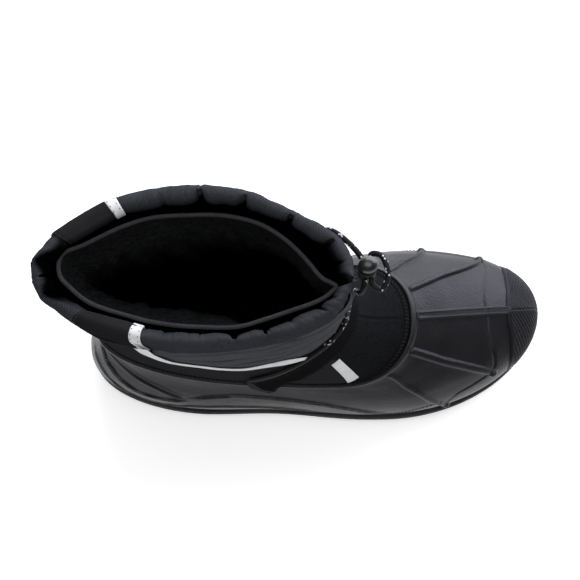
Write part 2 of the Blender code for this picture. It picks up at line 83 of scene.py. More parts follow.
# where the table frame lies in the model: the lock's barrel is centred on its own axis
_lo, _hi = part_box("cord_lock_barrel")
SHIFT = np.array([LOCK["x"] - 500.0 * (_lo[0] + _hi[0]), LOCK["y"] - 500.0 * (_lo[1] + _hi[1]), 0.0])


def W(p):
    """Table mm to model metres."""
    return (np.asarray(p, float) - SHIFT) * 0.001


# ---------------------------------------------------------------- the form of the boot
def hermite(xs, ys, x, level=False):
    xs, ys, x = (np.asarray(k, float) for k in (xs, ys, x))
    step = np.diff(xs)
    slope = np.diff(ys) / step
    m = np.empty_like(ys)
    m[0], m[-1] = slope[0], slope[-1]
    if level:
        a, b = slope[:-1], slope[1:]
        wa, wb = 2 * step[1:] + step[:-1], step[1:] + 2 * step[:-1]
        same = a * b > 0
        m[1:-1] = np.where(same, (wa + wb) * a * b / np.where(same, wa * b + wb * a, 1.0), 0.0)
    else:
        m[1:-1] = (slope[:-1] * step[1:] + slope[1:] * step[:-1]) / (step[1:] + step[:-1])
    i = np.clip(np.searchsorted(xs, x) - 1, 0, len(xs) - 2)
    t = (x - xs[i]) / step[i]
    return ((1 + 2 * t) * (1 - t) ** 2 * ys[i] + t * (1 - t) ** 2 * step[i] * m[i]
            + t * t * (3 - 2 * t) * ys[i + 1] + t * t * (t - 1) * step[i] * m[i + 1])


def smooth(a, b, x):
    t = np.clip((np.asarray(x, float) - a) / (b - a), 0, 1)
    return t * t * (3 - 2 * t)


def spring(x):
    return hermite(SPRING[:, 0], SPRING[:, 1], x)


def env(th, v, inset=0.0):
    """Outline point in mm. th: 0 back, 90 outer side, 180 toe, 270 inner side."""
    th, v, inset = np.broadcast_arrays(np.radians(np.asarray(th, float)),
                                       np.asarray(v, float), np.asarray(inset, float))
    g = {c: hermite(RINGS[:, 0], RINGS[:, i], v, level=c in ("z_back", "z_side", "z_front"))
         for i, c in enumerate(RING_COLUMNS) if i}
    c, s = np.cos(th), np.sin(th)
    back = c > 0
    n = np.where(back, g["n_back"], g["n_front"])
    a = np.where(back, g["x_wide"] - g["x_back"], g["x_front"] - g["x_wide"]) - inset
    w = np.where(s > 0, g["w_lat"], g["w_med"]) - inset
    q = np.abs(c) ** (2 / n)
    x = g["x_wide"] - np.sign(c) * a * q
    pinch = np.where(s > 0, g["pinch_lat"], g["pinch_med"]) * np.exp(-((x - 118.0) / 48.0) ** 2)
    y = (-np.sign(s) * w * np.abs(s) ** (2 / n) + np.sign(s) * pinch * np.abs(s)
         + g["y_mid"] + np.where(back, 0.0, g["y_front"]) * q ** 2)
    z = g["z_side"] + (np.where(back, g["z_back"], g["z_front"]) - g["z_side"]) * q ** 1.6
    z = z + spring(x) * (1 - smooth(0.0, 0.7, v))
    return np.stack([x, y, z], -1)


def normal(th, v):
    e = 1e-3
    lo, hi = np.clip(np.asarray(v, float) - e, 0, 2), np.clip(np.asarray(v, float) + e, 0, 2)
    n = np.cross(env(np.asarray(th, float) + 0.06, v) - env(np.asarray(th, float) - 0.06, v),
                 env(th, hi) - env(th, lo))
    return n / np.linalg.norm(n, axis=-1, keepdims=True)


def surf(th, v, off):
    th, v, off = np.broadcast_arrays(np.asarray(th, float), np.asarray(v, float), np.asarray(off, float))
    return env(th, v) + normal(th, v) * off[..., None]


def v_from_rim(th, dist):
    """Height parameter at a distance from the shell's top edge: positive below it, negative above it."""
    th = np.atleast_1d(np.asarray(th, float))
    vs = np.linspace(0.0, 1.4, 281)
    p = env(th[None, :], vs[:, None])
    run = np.concatenate([np.zeros((1, len(th))),
                          np.cumsum(np.linalg.norm(np.diff(p, axis=0), axis=-1), axis=0)])
    at_rim = run[200]
    d = np.broadcast_to(np.asarray(dist, float), th.shape)
    return np.array([np.interp(at_rim[k] - d[k], run[:, k], vs) for k in range(len(th))])


def over_off(v):
    """Underside of what lies over the shell's rim and the fabric."""
    return (RIM_PROUD + CLEAR) + (-UPPER_SINK + CLEAR - RIM_PROUD - CLEAR) * smooth(1.04, 1.16, v)


def skin_off(v):
    """Outer face of the fabric: tucked under the shell, then close to the outline."""
    return -3.3 + 2.1 * smooth(1.0, 1.02, v) + 0.4 * smooth(1.03, 1.2, v)


def along(points, count):
    """Evenly spaced points on a smooth line through the given ones."""
    p = np.asarray(points, float)
    run = np.concatenate([[0], np.cumsum(np.linalg.norm(np.diff(p, axis=0), axis=1))])
    s = np.linspace(0, run[-1], count)
    return np.stack([hermite(run, p[:, k], s) for k in range(p.shape[1])], -1)


def line_distance(P, path):
    """Distance in mm from each point to a line of points, and the share of the line's length there."""
    flat = P.reshape(-1, 3)
    d = np.full(len(flat), 99.0)
    share = np.zeros(len(flat))
    near = np.all((flat > path.min(0) - 9) & (flat < path.max(0) + 9), axis=1)
    q = flat[near]
    best, where = np.full(len(q), 99.0), np.zeros(len(q))
    count = len(path) - 1
    for k in range(count):
        a, ab = path[k], path[k + 1] - path[k]
        t = np.clip(((q - a) @ ab) / max(ab @ ab, 1e-9), 0, 1)
        e = np.linalg.norm(q - a - t[:, None] * ab, axis=1)
        hit = e < best
        best[hit], where[hit] = e[hit], ((k + t) / count)[hit]
    d[near], share[near] = best, where
    return d.reshape(P.shape[:-1]), share.reshape(P.shape[:-1])


def noise2(u, v, seed, waves=14, low=0.5, high=2.5):
    """Smooth wandering values between about -1 and 1."""
    r = np.random.default_rng(seed)
    total = np.zeros(np.broadcast(u, v).shape)
    for _ in range(waves):
        f, a, ph = r.uniform(low, high), r.uniform(0, 2 * math.pi), r.uniform(0, 2 * math.pi)
        total += np.sin(2 * math.pi * f * (u * math.cos(a) + v * math.sin(a)) + ph)
    return total / math.sqrt(waves)


# ---------------------------------------------------------------- camera
cam_data = bpy.data.cameras.new("camera")
cam_data.sensor_width = 36.0
cam_data.lens = 1520.0 / 580.0 * 36.0
cam = bpy.data.objects.new("camera", cam_data)
bpy.context.scene.collection.objects.link(cam)
_az, _el, _far = math.radians(-3.7), math.radians(78.0), 1053.0
_target = np.array([135.0, 38.5, 0.0])
_place = _target + _far * np.array([math.sin(_az) * math.cos(_el), -math.cos(_az) * math.cos(_el), math.sin(_el)])
cam.location = Vector(W(_place))
cam.rotation_euler = (Vector(W(_target)) - cam.location).to_track_quat("-Z", "Y").to_euler()
bpy.context.scene.camera = cam


# ---------------------------------------------------------------- mesh helpers
def link(name, me):
    ob = bpy.data.objects.new(name, me)
    bpy.context.scene.collection.objects.link(ob)
    return ob


def quads(rows, cols, closed):
    r = np.arange(rows - 1)[:, None]
    c = np.arange(cols if closed else cols - 1)[None, :]
    n = (c + 1) % cols
    return np.stack([r * cols + c, r * cols + n, (r + 1) * cols + n, (r + 1) * cols + c], -1).reshape(-1, 4)


def build(name, verts, faces, mats, smooth_shade=True, index=None, uv=None, points=None):
    """Mesh object from points in table mm. faces: an (n, 4) array or a list. uv: per face corner, metres."""
    me = bpy.data.meshes.new(name)
    co = W(np.asarray(verts, float).reshape(-1, 3))
    if isinstance(faces, np.ndarray):
        n = len(faces)
        me.vertices.add(len(co))
        me.vertices.foreach_set("co", co.ravel())
        me.loops.add(n * 4)
        me.loops.foreach_set("vertex_index", faces.ravel().astype(np.int32))
        me.polygons.add(n)
        me.polygons.foreach_set("loop_start", np.arange(0, n * 4, 4, dtype=np.int32))
        me.update(calc_edges=True)
    else:
        me.from_pydata(co.tolist(), [], [tuple(int(i) for i in f) for f in faces])
        me.update()
    for m in mats if isinstance(mats, (list, tuple)) else [mats]:
        me.materials.append(m)
    me.polygons.foreach_set("use_smooth", np.full(len(me.polygons), smooth_shade, bool))
    if index is not None:
        me.polygons.foreach_set("material_index", np.asarray(index, np.int32))
    if uv is not None:
        layer = me.uv_layers.new(name="UVMap")
        layer.data.foreach_set("uv", np.asarray(uv, float).reshape(-1))
    for key, values in (points or {}).items():
        at = me.attributes.new(key, "FLOAT", "POINT")
        at.data.foreach_set("value", np.asarray(values, float).ravel())
    me.validate()
    me.update()
    return link(name, me)


def grid(name, P, mats, closed=False, index=None, points=None):
    """Mesh from an array of rows and columns of points, with a map in metres along both."""
    R, C = P.shape[:2]
    faces = quads(R, C, closed)
    Q = np.concatenate([P, P[:, :1]], 1) if closed else P
    du = np.linalg.norm(np.diff(Q, axis=1), axis=-1)
    dv = np.linalg.norm(np.diff(Q, axis=0), axis=-1)
    u = np.concatenate([[0], np.cumsum(du.mean(0))]) * 0.001
    v = np.concatenate([[0], np.cumsum(dv.mean(1))]) * 0.001
    cols = C if closed else C - 1
    r, c = np.meshgrid(np.arange(R - 1), np.arange(cols), indexing="ij")
    corner = np.stack([np.stack([u[c], v[r]], -1), np.stack([u[c + 1], v[r]], -1),
                       np.stack([u[c + 1], v[r + 1]], -1), np.stack([u[c], v[r + 1]], -1)], 2)
    return build(name, P, faces, mats, index=index, uv=corner, points=points)


def grid_normals(P, closed=True):
    if closed:
        du = np.roll(P, -1, 1) - np.roll(P, 1, 1)
    else:
        du = np.gradient(P, axis=1)
    n = np.cross(du, np.gradient(P, axis=0))
    return n / np.maximum(np.linalg.norm(n, axis=-1, keepdims=True), 1e-9)


def frames(p, closed=False):
    """Two directions across a line at each of its points, without twist."""
    if closed:
        tan = np.roll(p, -1, 0) - np.roll(p, 1, 0)
    else:
        tan = np.gradient(p, axis=0)
    tan /= np.linalg.norm(tan, axis=1, keepdims=True)
    ref = np.array([0.0, 0.0, 1.0]) if abs(tan[0][2]) < 0.8 else np.array([1.0, 0.0, 0.0])
    side, up = np.empty_like(p), np.empty_like(p)
    for k in range(len(p)):
        s = np.cross(tan[k], ref)
        s /= np.linalg.norm(s)
        ref = np.cross(s, tan[k])
        side[k], up[k] = s, ref
    return side, up


def tube_points(p, radius, sides, closed=False, relief=None):
    side, up = frames(p, closed)
    ang = np.linspace(0, 2 * math.pi, sides, endpoint=False)
    r = np.broadcast_to(np.asarray(radius, float), (len(p),))[:, None] * np.ones(sides)
    if relief is not None:
        r = r + relief
    return (p[:, None, :] + r[..., None] * (np.cos(ang)[None, :, None] * side[:, None, :]
                                            + np.sin(ang)[None, :, None] * up[:, None, :]))


def stitches(name, pts, nor, mat, length=2.2, gap=1.3, width=0.75, rise=0.35, slant=0.0, zigzag=False):
    """A row of thread stitches lying on a surface along a line."""
    run = np.concatenate([[0], np.cumsum(np.linalg.norm(np.diff(pts, axis=0), axis=1))])
    starts = np.arange(0.3, run[-1] - length, length + gap)
    verts, faces = [], []
    ring = np.linspace(0, math.pi * 2, 6, endpoint=False)
    for i, s in enumerate(starts):
        mid = s + length / 2
        at = np.array([np.interp(mid, run, pts[:, k]) for k in range(3)])
        nn = np.array([np.interp(mid, run, nor[:, k]) for k in range(3)])
        a = np.array([np.interp(s, run, pts[:, k]) for k in range(3)])
        b = np.array([np.interp(s + length, run, pts[:, k]) for k in range(3)])
        nn /= np.linalg.norm(nn)
        t = b - a
        t /= np.linalg.norm(t)
        o = np.cross(nn, t)
        o /= np.linalg.norm(o)
        tilt = math.radians(slant * (-1 if zigzag and i % 2 else 1))
        t, o = t * math.cos(tilt) + o * math.sin(tilt), o * math.cos(tilt) - t * math.sin(tilt)
        base = len(verts)
        for f, w in ((-0.5, 0.35), (-0.3, 0.9), (0.0, 1.0), (0.3, 0.9), (0.5, 0.35)):
            sink = -0.5 * rise * (abs(f) > 0.4)
            for g in ring:
                verts.append(at + t * f * length + o * math.cos(g) * width / 2 * w
                             + nn * (math.sin(g) * rise * w + sink))
        for k in range(4):
            for j in range(6):
                n = (j + 1) % 6
                faces.append((base + k * 6 + j, base + k * 6 + n, base + (k + 1) * 6 + n, base + (k + 1) * 6 + j))
    return build(name, np.array(verts), np.array(faces), mat)


# ---------------------------------------------------------------- materials
class Paint:
    """A principled material and its nodes."""

    def __init__(self, name, rough=0.5, specular=0.5, **fixed):
        self.m = bpy.data.materials.new(name)
        self.m.use_nodes = True
        self.t = self.m.node_tree
        self.t.nodes.clear()
        out = self.t.nodes.new("ShaderNodeOutputMaterial")
        self.b = self.t.nodes.new("ShaderNodeBsdfPrincipled")
        self.t.links.new(self.b.outputs[0], out.inputs[0])
        self.b.inputs["Roughness"].default_value = rough
        self.b.inputs["Specular IOR Level"].default_value = specular
        for key, value in fixed.items():
            self.b.inputs[key.replace("_", " ")].default_value = value
        self.object = self.node("ShaderNodeTexCoord").outputs["Object"]
        self.uv = self.t.nodes[-1].outputs["UV"]
        self.height = None

    def node(self, kind, **props):
        n = self.t.nodes.new(kind)
        for key, value in props.items():
            setattr(n, key, value)
        return n

    def put(self, socket, value):
        if isinstance(value, bpy.types.NodeSocket):
            self.t.links.new(value, socket)
        else:
            socket.default_value = value

    def math(self, op, a, b=0.0, clamp=False):
        n = self.node("ShaderNodeMath", operation=op, use_clamp=clamp)
        self.put(n.inputs[0], a)
        self.put(n.inputs[1], b)
        return n.outputs[0]

    def noise(self, scale, detail=3.0, rough=0.55, where=None, stretch=None):
        n = self.node("ShaderNodeTexNoise")
        co = where or self.object
        if stretch:
            mp = self.node("ShaderNodeMapping")
            mp.inputs["Scale"].default_value = stretch
            self.put(mp.inputs["Vector"], co)
            co = mp.outputs[0]
        self.put(n.inputs["Vector"], co)
        n.inputs["Scale"].default_value = scale
        n.inputs["Detail"].default_value = detail
        n.inputs["Roughness"].default_value = rough
        return n.outputs["Fac"]

    def cells(self, scale, where=None):
        n = self.node("ShaderNodeTexVoronoi")
        self.put(n.inputs["Vector"], where or self.object)
        n.inputs["Scale"].default_value = scale
        return n.outputs["Distance"]

    def remap(self, value, a, b, c, d):
        n = self.node("ShaderNodeMapRange")
        self.put(n.inputs[0], value)
        for k, x in enumerate((a, b, c, d)):
            n.inputs[k + 1].default_value = x
        return n.outputs[0]

    def mix(self, factor, a, b):
        n = self.node("ShaderNodeMix", data_type="RGBA")
        self.put(n.inputs[0], factor)
        for socket, value in ((n.inputs[6], a), (n.inputs[7], b)):
            self.put(socket, tuple(value) + (1.0,) if isinstance(value, tuple) else value)
        return n.outputs[2]

    def value(self, name):
        return self.node("ShaderNodeAttribute", attribute_name=name).outputs["Fac"]

    def waves(self, pitch, angle=0.0):
        """Rows across the surface map, one every pitch metres, from -1 to 1."""
        sep = self.node("ShaderNodeSeparateXYZ")
        self.put(sep.inputs[0], self.uv)
        c, s = math.cos(angle) * 2 * math.pi / pitch, math.sin(angle) * 2 * math.pi / pitch
        return self.math("SINE", self.math("ADD", self.math("MULTIPLY", sep.outputs[0], c),
                                           self.math("MULTIPLY", sep.outputs[1], s)))

    def bump(self, height, strength, distance):
        n = self.node("ShaderNodeBump")
        n.inputs["Strength"].default_value = strength
        n.inputs["Distance"].default_value = distance
        self.put(n.inputs["Height"], height)
        if self.height is not None:
            self.put(n.inputs["Normal"], self.height)
        self.height = n.outputs[0]
        self.put(self.b.inputs["Normal"], self.height)

    def colour(self, value):
        self.put(self.b.inputs["Base Color"], value)

    def rough(self, value):
        self.put(self.b.inputs["Roughness"], value)


def rubber(name, dark, light, worn, rough=(0.27, 0.38), grain=1000, specular=0.25):
    p = Paint(name, specular=specular)
    broad, fine = p.noise(38, 4), p.noise(grain, 3, 0.6)
    base = p.mix(p.remap(broad, 0.3, 0.7, 0, 1), dark, light)
    speck = p.remap(p.cells(420), 0.0, 0.10, 1.0, 0.0)
    speck = p.math("MULTIPLY", speck, p.remap(p.noise(160, 2), 0.50, 0.60, 0, 0.8), clamp=True)
    base = p.mix(speck, base, worn)
    # lighter towards the worn colour by this attribute: real edge wear on the ribs, and a painted highlight on the
    # upward ledges
    edge = p.math("MULTIPLY", p.value("wear_and_highlight"), p.remap(p.noise(260, 4), 0.35, 0.65, 0.25, 1.0), clamp=True)
    base = p.mix(edge, base, worn)
    p.colour(base)
    p.rough(p.math("ADD", p.remap(p.noise(55, 5), 0.25, 0.75, *rough), p.math("MULTIPLY", fine, 0.05)))
    p.bump(fine, 0.75, 0.0004)
    p.bump(p.noise(420, 3), 0.16, 0.0006)
    p.b.inputs["Specular Tint"].default_value = (0.92, 0.92, 1.0, 1.0)
    return p.m


def woven(name, dark, light, pitch, rough=0.62, sheen=0.12, depth=0.35, twill=0.0, fuzz=0.0, gloss=0.02, fade=False):
    p = Paint(name, rough=rough, specular=gloss)
    p.b.inputs["Sheen Weight"].default_value = sheen
    p.b.inputs["Sheen Roughness"].default_value = 0.45
    a, b = p.waves(pitch, math.radians(45 * twill)), p.waves(pitch * 0.8, math.radians(90 + 45 * twill))
    weave = p.math("ADD", p.math("MULTIPLY", a, 0.45), p.math("MULTIPLY", p.math("MULTIPLY", a, b), 0.55))
    level = p.remap(weave, -1, 1, 0, 1)
    patch = p.remap(p.noise(70, 4), 0.3, 0.7, 0, 1)
    fine = p.remap(p.noise(720, 3, 0.7), 0.3, 0.7, -0.18, 0.30)
    tone = p.math("ADD", p.math("MULTIPLY", level, 0.75),
                  p.math("ADD", p.math("MULTIPLY", patch, 0.25), fine), clamp=True)
    tint = p.mix(tone, dark, light)
    # with fade, painted shade: the colour is mixed towards near black by the deep attribute
    p.colour(p.mix(p.value("deep"), tint, (0.0006, 0.0006, 0.0007)) if fade else tint)
    p.rough(p.remap(patch, 0, 1, rough - 0.05, rough + 0.08))
    p.bump(level, depth, 0.00022)
    if fuzz:
        p.bump(p.noise(900, 5, 0.7), fuzz, 0.0006)
    return p.m


def smooth_cloth(name, dark, light, rough=0.55, grain=1100, depth=0.25, sheen=0.0, specular=0.01):
    p = Paint(name, rough=rough, specular=specular)
    p.b.inputs["Sheen Weight"].default_value = sheen
    patch, fine = p.noise(60, 5), p.noise(grain, 3)
    p.colour(p.mix(p.math("ADD", p.math("MULTIPLY", patch, 0.6), p.math("MULTIPLY", fine, 0.4)), dark, light))
    p.rough(p.remap(patch, 0.3, 0.7, rough - 0.06, rough + 0.08))
    p.bump(fine, depth, 0.0002)
    return p.m


def pile(name, dark, light, rough=0.95, coarse=420, depth=0.7, sheen=0.25, fade=False, gloss=0.005):
    p = Paint(name, rough=rough, specular=gloss)
    p.b.inputs["Sheen Weight"].default_value = sheen
    p.b.inputs["Sheen Roughness"].default_value = 0.6
    tuft, fine = p.noise(coarse, 5, 0.65), p.noise(coarse * 4, 3, 0.6)
    tone = p.math("ADD", p.math("MULTIPLY", p.remap(tuft, 0.3, 0.7, 0, 1), 0.65), p.math("MULTIPLY", fine, 0.35))
    tint = p.mix(tone, dark, light)
    # with fade, painted shade: the colour is mixed towards near black by the deep attribute
    p.colour(p.mix(p.value("deep"), tint, (0.0003, 0.0003, 0.0003)) if fade else tint)
    p.bump(tuft, depth, 0.0011)
    p.bump(fine, depth * 0.6, 0.0004)
    return p.m


def reflective(name):
    p = Paint(name, rough=0.42, specular=0.5)
    a, b = p.waves(0.0007, math.radians(45)), p.waves(0.0007, math.radians(135))
    level = p.remap(p.math("MULTIPLY", a, b), -1, 1, 0, 1)
    patch = p.remap(p.noise(140, 4), 0.3, 0.7, 0, 1)
    p.colour(p.mix(p.math("ADD", p.math("MULTIPLY", level, 0.5), p.math("MULTIPLY", patch, 0.5)),
                   (0.52, 0.525, 0.535), (0.78, 0.785, 0.795)))
    p.rough(p.remap(patch, 0, 1, 0.36, 0.5))
    p.bump(level, 0.2, 0.00012)
    return p.m


def braid(name):
    p = Paint(name, rough=0.55, specular=0.12)
    fleck = p.remap(p.value("fleck"), 0.35, 0.6, 0, 1)
    fine = p.noise(2200, 2)
    p.colour(p.mix(fleck, p.mix(fine, (0.0025, 0.0025, 0.003), (0.010, 0.010, 0.0115)), (0.55, 0.56, 0.58)))
    p.bump(fine, 0.3, 0.0002)
    return p.m


def thread(name, dark, light):
    p = Paint(name, rough=0.6, specular=0.1)
    fine = p.noise(2600, 2)
    p.colour(p.mix(fine, dark, light))
    p.bump(fine, 0.4, 0.0002)
    return p.m


def hard_plastic(name, dark, light, rough, specular=0.5, coat=0.12):
    p = Paint(name, specular=specular, rough=rough[0])
    p.b.inputs["Coat Weight"].default_value = coat
    p.b.inputs["Coat Roughness"].default_value = 0.22
    fine, patch = p.noise(1800, 3), p.noise(180, 4)
    p.colour(p.mix(patch, dark, light))
    p.rough(p.remap(patch, 0.3, 0.7, *rough))
    p.bump(fine, 0.08, 0.00012)
    return p.m


SHELL_M = rubber("shell_rubber_satin", (0.0055, 0.0055, 0.0066), (0.0092, 0.0092, 0.011), (0.10, 0.10, 0.105))
SOLE_M = rubber("sole_rubber_matt", (0.028, 0.028, 0.029), (0.052, 0.052, 0.0535), (0.12, 0.12, 0.122), (0.5, 0.66), 900, 0.0)
BUMPER_M = rubber("bumper_rubber_knurled", (0.0024, 0.0024, 0.003), (0.005, 0.005, 0.006), (0.028, 0.028, 0.033), (0.38, 0.48), 1000, 0.15)
# moulded marks lighter than the rubber they are moulded in: wear, and a painted highlight on their raised tops
MARK_WORN_LIT_M = rubber("moulded_marks_worn_and_highlight", (0.018, 0.018, 0.019), (0.042, 0.042, 0.044), (0.12, 0.12, 0.122), (0.45, 0.6), 900, 0.2)
# shaft and collar are darkened by the deep attribute: painted shade in the shaft's fold lines and on the collar's roll
NYLON_M = woven("nylon_shaft", (0.044, 0.0448, 0.049), (0.092, 0.0935, 0.103), 0.0011, 0.60, 0.0, 0.34, 1.0, gloss=0.0, fade=True)
COLLAR_M = woven("nylon_collar", (0.019, 0.0203, 0.0232), (0.045, 0.0475, 0.054), 0.0012, 0.62, 0.0, 0.36, 1.0, gloss=0.0, fade=True)
QUARTER_M = smooth_cloth("quarter_synthetic", (0.013, 0.013, 0.014), (0.034, 0.034, 0.0365), 0.52, specular=0.0)
SLEEVE_M = smooth_cloth("sleeve_synthetic", (0.0105, 0.0105, 0.0114), (0.022, 0.022, 0.024), 0.5, 1500, 0.2, specular=0.0)
VAMP_M = pile("vamp_brushed", (0.0018, 0.0022, 0.0026), (0.0115, 0.0124, 0.014), 0.75, 620, 0.55, 0.01, gloss=0.004)
# lining darkened by the deep attribute: painted shade deeper into the boot
LINING_M = pile("lining_fleece", (0.005, 0.0053, 0.0057), (0.034, 0.0356, 0.0378), 0.97, 330, 1.0, 0.0, True, 0.0)
# near-black sheet material: painted shade in the collar's curl and in the valley beside the lining
SHADE_BLACK_M = smooth_cloth("facing_painted_shade_black", (0.0003, 0.0003, 0.0003), (0.0008, 0.0008, 0.0009), 0.9, specular=0.0)
PIPING_M = woven("piping_satin", (0.015, 0.015, 0.0166), (0.046, 0.046, 0.0505), 0.0008, 0.42, 0.0, 0.25, 0.5, gloss=0.0)
STRAP_M = smooth_cloth("strap_smooth", (0.0048, 0.0048, 0.0053), (0.011, 0.011, 0.012), 0.45, 1700, 0.25, specular=0.0)
# lighter strap ends: painted light where the ends face up
STRAP_END_LIT_M = smooth_cloth("strap_end_painted_light", (0.022, 0.022, 0.0235), (0.05, 0.05, 0.053), 0.5, 1700, 0.3, specular=0.0)
WHITE_M = reflective("reflective_tape")
CORD_M = braid("cord_braid_flecked")
THREAD_M = thread("thread_black", (0.002, 0.002, 0.0025), (0.008, 0.008, 0.009))
OVERLOCK_M = thread("thread_overlock", (0.005, 0.005, 0.0056), (0.017, 0.017, 0.0185))
THREAD_GREY_M = thread("thread_grey", (0.014, 0.014, 0.0155), (0.045, 0.045, 0.048))
BARREL_M = hard_plastic("lock_barrel_plastic", (0.004, 0.004, 0.0044), (0.008, 0.008, 0.009), (0.42, 0.52), 0.10, 0.0)
BUTTON_M = hard_plastic("lock_button_plastic", (0.006, 0.006, 0.0066), (0.012, 0.012, 0.013), (0.30, 0.40))
# near black: painted shade deep inside the boot
FOOTBED_SHADE_M = woven("footbed_cloth_painted_shade", (0.0003, 0.0003, 0.0004), (0.001, 0.001, 0.0011), 0.0014, 0.8, 0.0, 0.4)


def finish_piece(ob, body="boot", nodes=()):
    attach(ob, body)
    if nodes:
        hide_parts(*nodes)
    return ob


# ---------------------------------------------------------------- cords first
def strand(side, reach_x):
    reach = LOCK["radius"] + CLEAR + 0.2
    return np.array([LOCK["x"] + reach_x, LOCK["y"] + side * reach, LOCK["z_strand"]])


def cord_piece(name, node, points, unflecked_shaded_start=0.0):
    """A braided cord along its route: strands cross in relief, a few of them are reflective. Its first stretch, of the
    length given last in mm, has no reflective flecks: painted shade where the cord lies in shadow.
    """
    rough_line = along(points, 400)
    run = float(np.sum(np.linalg.norm(np.diff(rough_line, axis=0), axis=1)))
    count = max(120, int(run / 0.28))
    line = along(points, count)
    sides = 28
    s = np.linspace(0, run, count)[:, None]
    ang = np.linspace(0, 2 * math.pi, sides, endpoint=False)[None, :]
    k, cell = 6, 1.7
    wa, wb = ang * k / (2 * math.pi) + s / cell, ang * k / (2 * math.pi) - s / cell
    a, b = wa % 1.0, wb % 1.0
    over = np.maximum(np.sin(math.pi * a) ** 0.7, np.sin(math.pi * b) ** 0.7)
    relief = (over - 0.9) * 0.28
    chance = (np.sin(np.floor(wa) * 12.9898 + np.floor(wb) * 78.233) * 43758.5453) % 1.0
    fleck = np.where((chance < 0.11) & (s >= unflecked_shaded_start), np.clip(np.minimum(np.sin(math.pi * a), np.sin(math.pi * b)) * 1.6, 0, 1), 0.0)
    P = tube_points(line, CORD_D / 2, sides, relief=relief)
    first, last = line[0], line[-1]
    P = np.concatenate([np.repeat(first[None, None], sides, 1) + 0.02 * (P[:1] - first), P,
                        np.repeat(last[None, None], sides, 1) + 0.02 * (P[-1:] - last)])
    fl = np.concatenate([fleck[:1], fleck, fleck[-1:]])
    ob = grid(name, P, CORD_M, closed=True, points={"fleck": fl})
    finish_piece(ob, nodes=[node])
    return ob


_lift = CORD_D / 2 + CLEAR - UPPER_SINK + 0.3
_start = strand(-1, -2.0)
_run = [surf(a, b + 0.026, _lift) for a, b, c, d in STRAP[2:-1]]
_run += [surf(172.0, 1.655, _lift + 0.3), surf(177.0, 1.74, _lift + 0.8), surf(181.0, 1.82, _lift + 2.2)]
_run += [_start + np.array([-1.2, -4.6, -4.2]), _start + np.array([-0.1, -2.2, -0.7]), _start]
# this cord's first 72 mm lie along the strap's top edge and stay without flecks: painted shade
cord_piece("drawcord_outer", "drawcord_lateral", _run, unflecked_shaded_start=72.0)
_start = strand(1, -2.0)
_run = [_start, _start + np.array([-1.5, 2.6, 0.4]), np.array([165.0, 15.5, 225.0]), np.array([157.5, 22.5, 223.0]),
        surf(219.0, 1.865, _lift + 3.2), surf(226.0, 1.845, _lift + 0.7), surf(233.0, 1.83, _lift)]
cord_piece("drawcord_inner", "drawcord_medial", _run)
_a, _b = strand(1, 1.9), strand(-1, 1.9)
_run = [_a, _a + np.array([0.9, 2.6, 0.9]), np.array([181.8, 7.0, 226.0]), np.array([185.0, 0.4, 226.8]),
        np.array([185.0, -7.0, 224.6]), np.array([181.0, -11.6, 222.4]), _b + np.array([0.5, -2.6, -0.4]), _b]
cord_piece("drawcord_loop", "cord_loop", _run)

# ---------------------------------------------------------------- shell
# moulded lines of the shell as (angle, height) points, outer and inner side
CENTRE_BAR = [(179.3, 0.962), (179.3, 0.77), (179.0, 0.523)]
RIBS = [  # points, half width, height, softness of the edge
    (CENTRE_BAR, 2.4, 1.7, 0.8),
    ([(202, 0.98), (215.3, 0.748), (226, 0.35)], 1.5, 1.7, 1.0),
    ([(229.7, 0.973), (244.7, 0.723), (251.7, 0.375)], 1.5, 1.7, 1.0),
    ([(148.3, 0.945), (143, 0.848), (138.3, 0.738), (135, 0.58), (134.7, 0.402), (135, 0.33)], 2.3, 1.1, 1.3),
    ([(119.7, 0.938), (108, 0.693), (105.7, 0.443), (111, 0.12)], 1.4, 1.2, 1.1)]
KNOBS = [(226, 0.35), (251.7, 0.375), (135, 0.33), (111, 0.13)]
BAND = [(251.7, 0.375), (244, 0.355), (235.3, 0.338), (226, 0.35), (221.7, 0.378), (205, 0.537), (193, 0.61), (181.3, 0.638),
        (172, 0.618), (164, 0.585), (150.3, 0.495), (139.3, 0.378), (133, 0.357), (124.3, 0.325), (116.3, 0.295), (112, 0.227)]
HEEL_GROOVE = [(12.5, 1.0), (21.8, 0.785), (31.5, 0.59), (40.2, 0.47), (48.5, 0.352)]
HEEL_LEDGE = [(7.0, 1.0), (16.8, 0.60), (26.2, 0.395), (35, 0.285), (42.8, 0.283), (50, 0.335)]
HEEL_LOW = [(0.0, 0.66), (12.5, 0.44), (21.2, 0.28), (30, 0.175), (38.8, 0.150), (49, 0.20), (58, 0.245),
            (66.8, 0.225), (75.5, 0.165), (81, 0.11)]
SIDE_LEDGE = [(48.5, 0.345), (52, 0.405), (60.5, 0.475), (65.8, 0.452), (72.8, 0.41), (80.8, 0.36), (84.8, 0.29),
              (90, 0.16)]
SIDE_DASH = [(86, 0.15), (94, 0.165), (101, 0.225), (110, 0.268)]


def mirror(points):
    return [(360.0 - a, b) for a, b in points]


def on_form(points, count=48, off=0.0):
    p = np.asarray(points, float)
    run = np.concatenate([[0], np.cumsum(np.linalg.norm(np.diff(env(p[:, 0], p[:, 1]), axis=0), axis=1))])
    s = np.linspace(0, run[-1], count)
    th, v = hermite(run, p[:, 0], s), hermite(run, p[:, 1], s)
    return surf(th, v, off), normal(th, v)


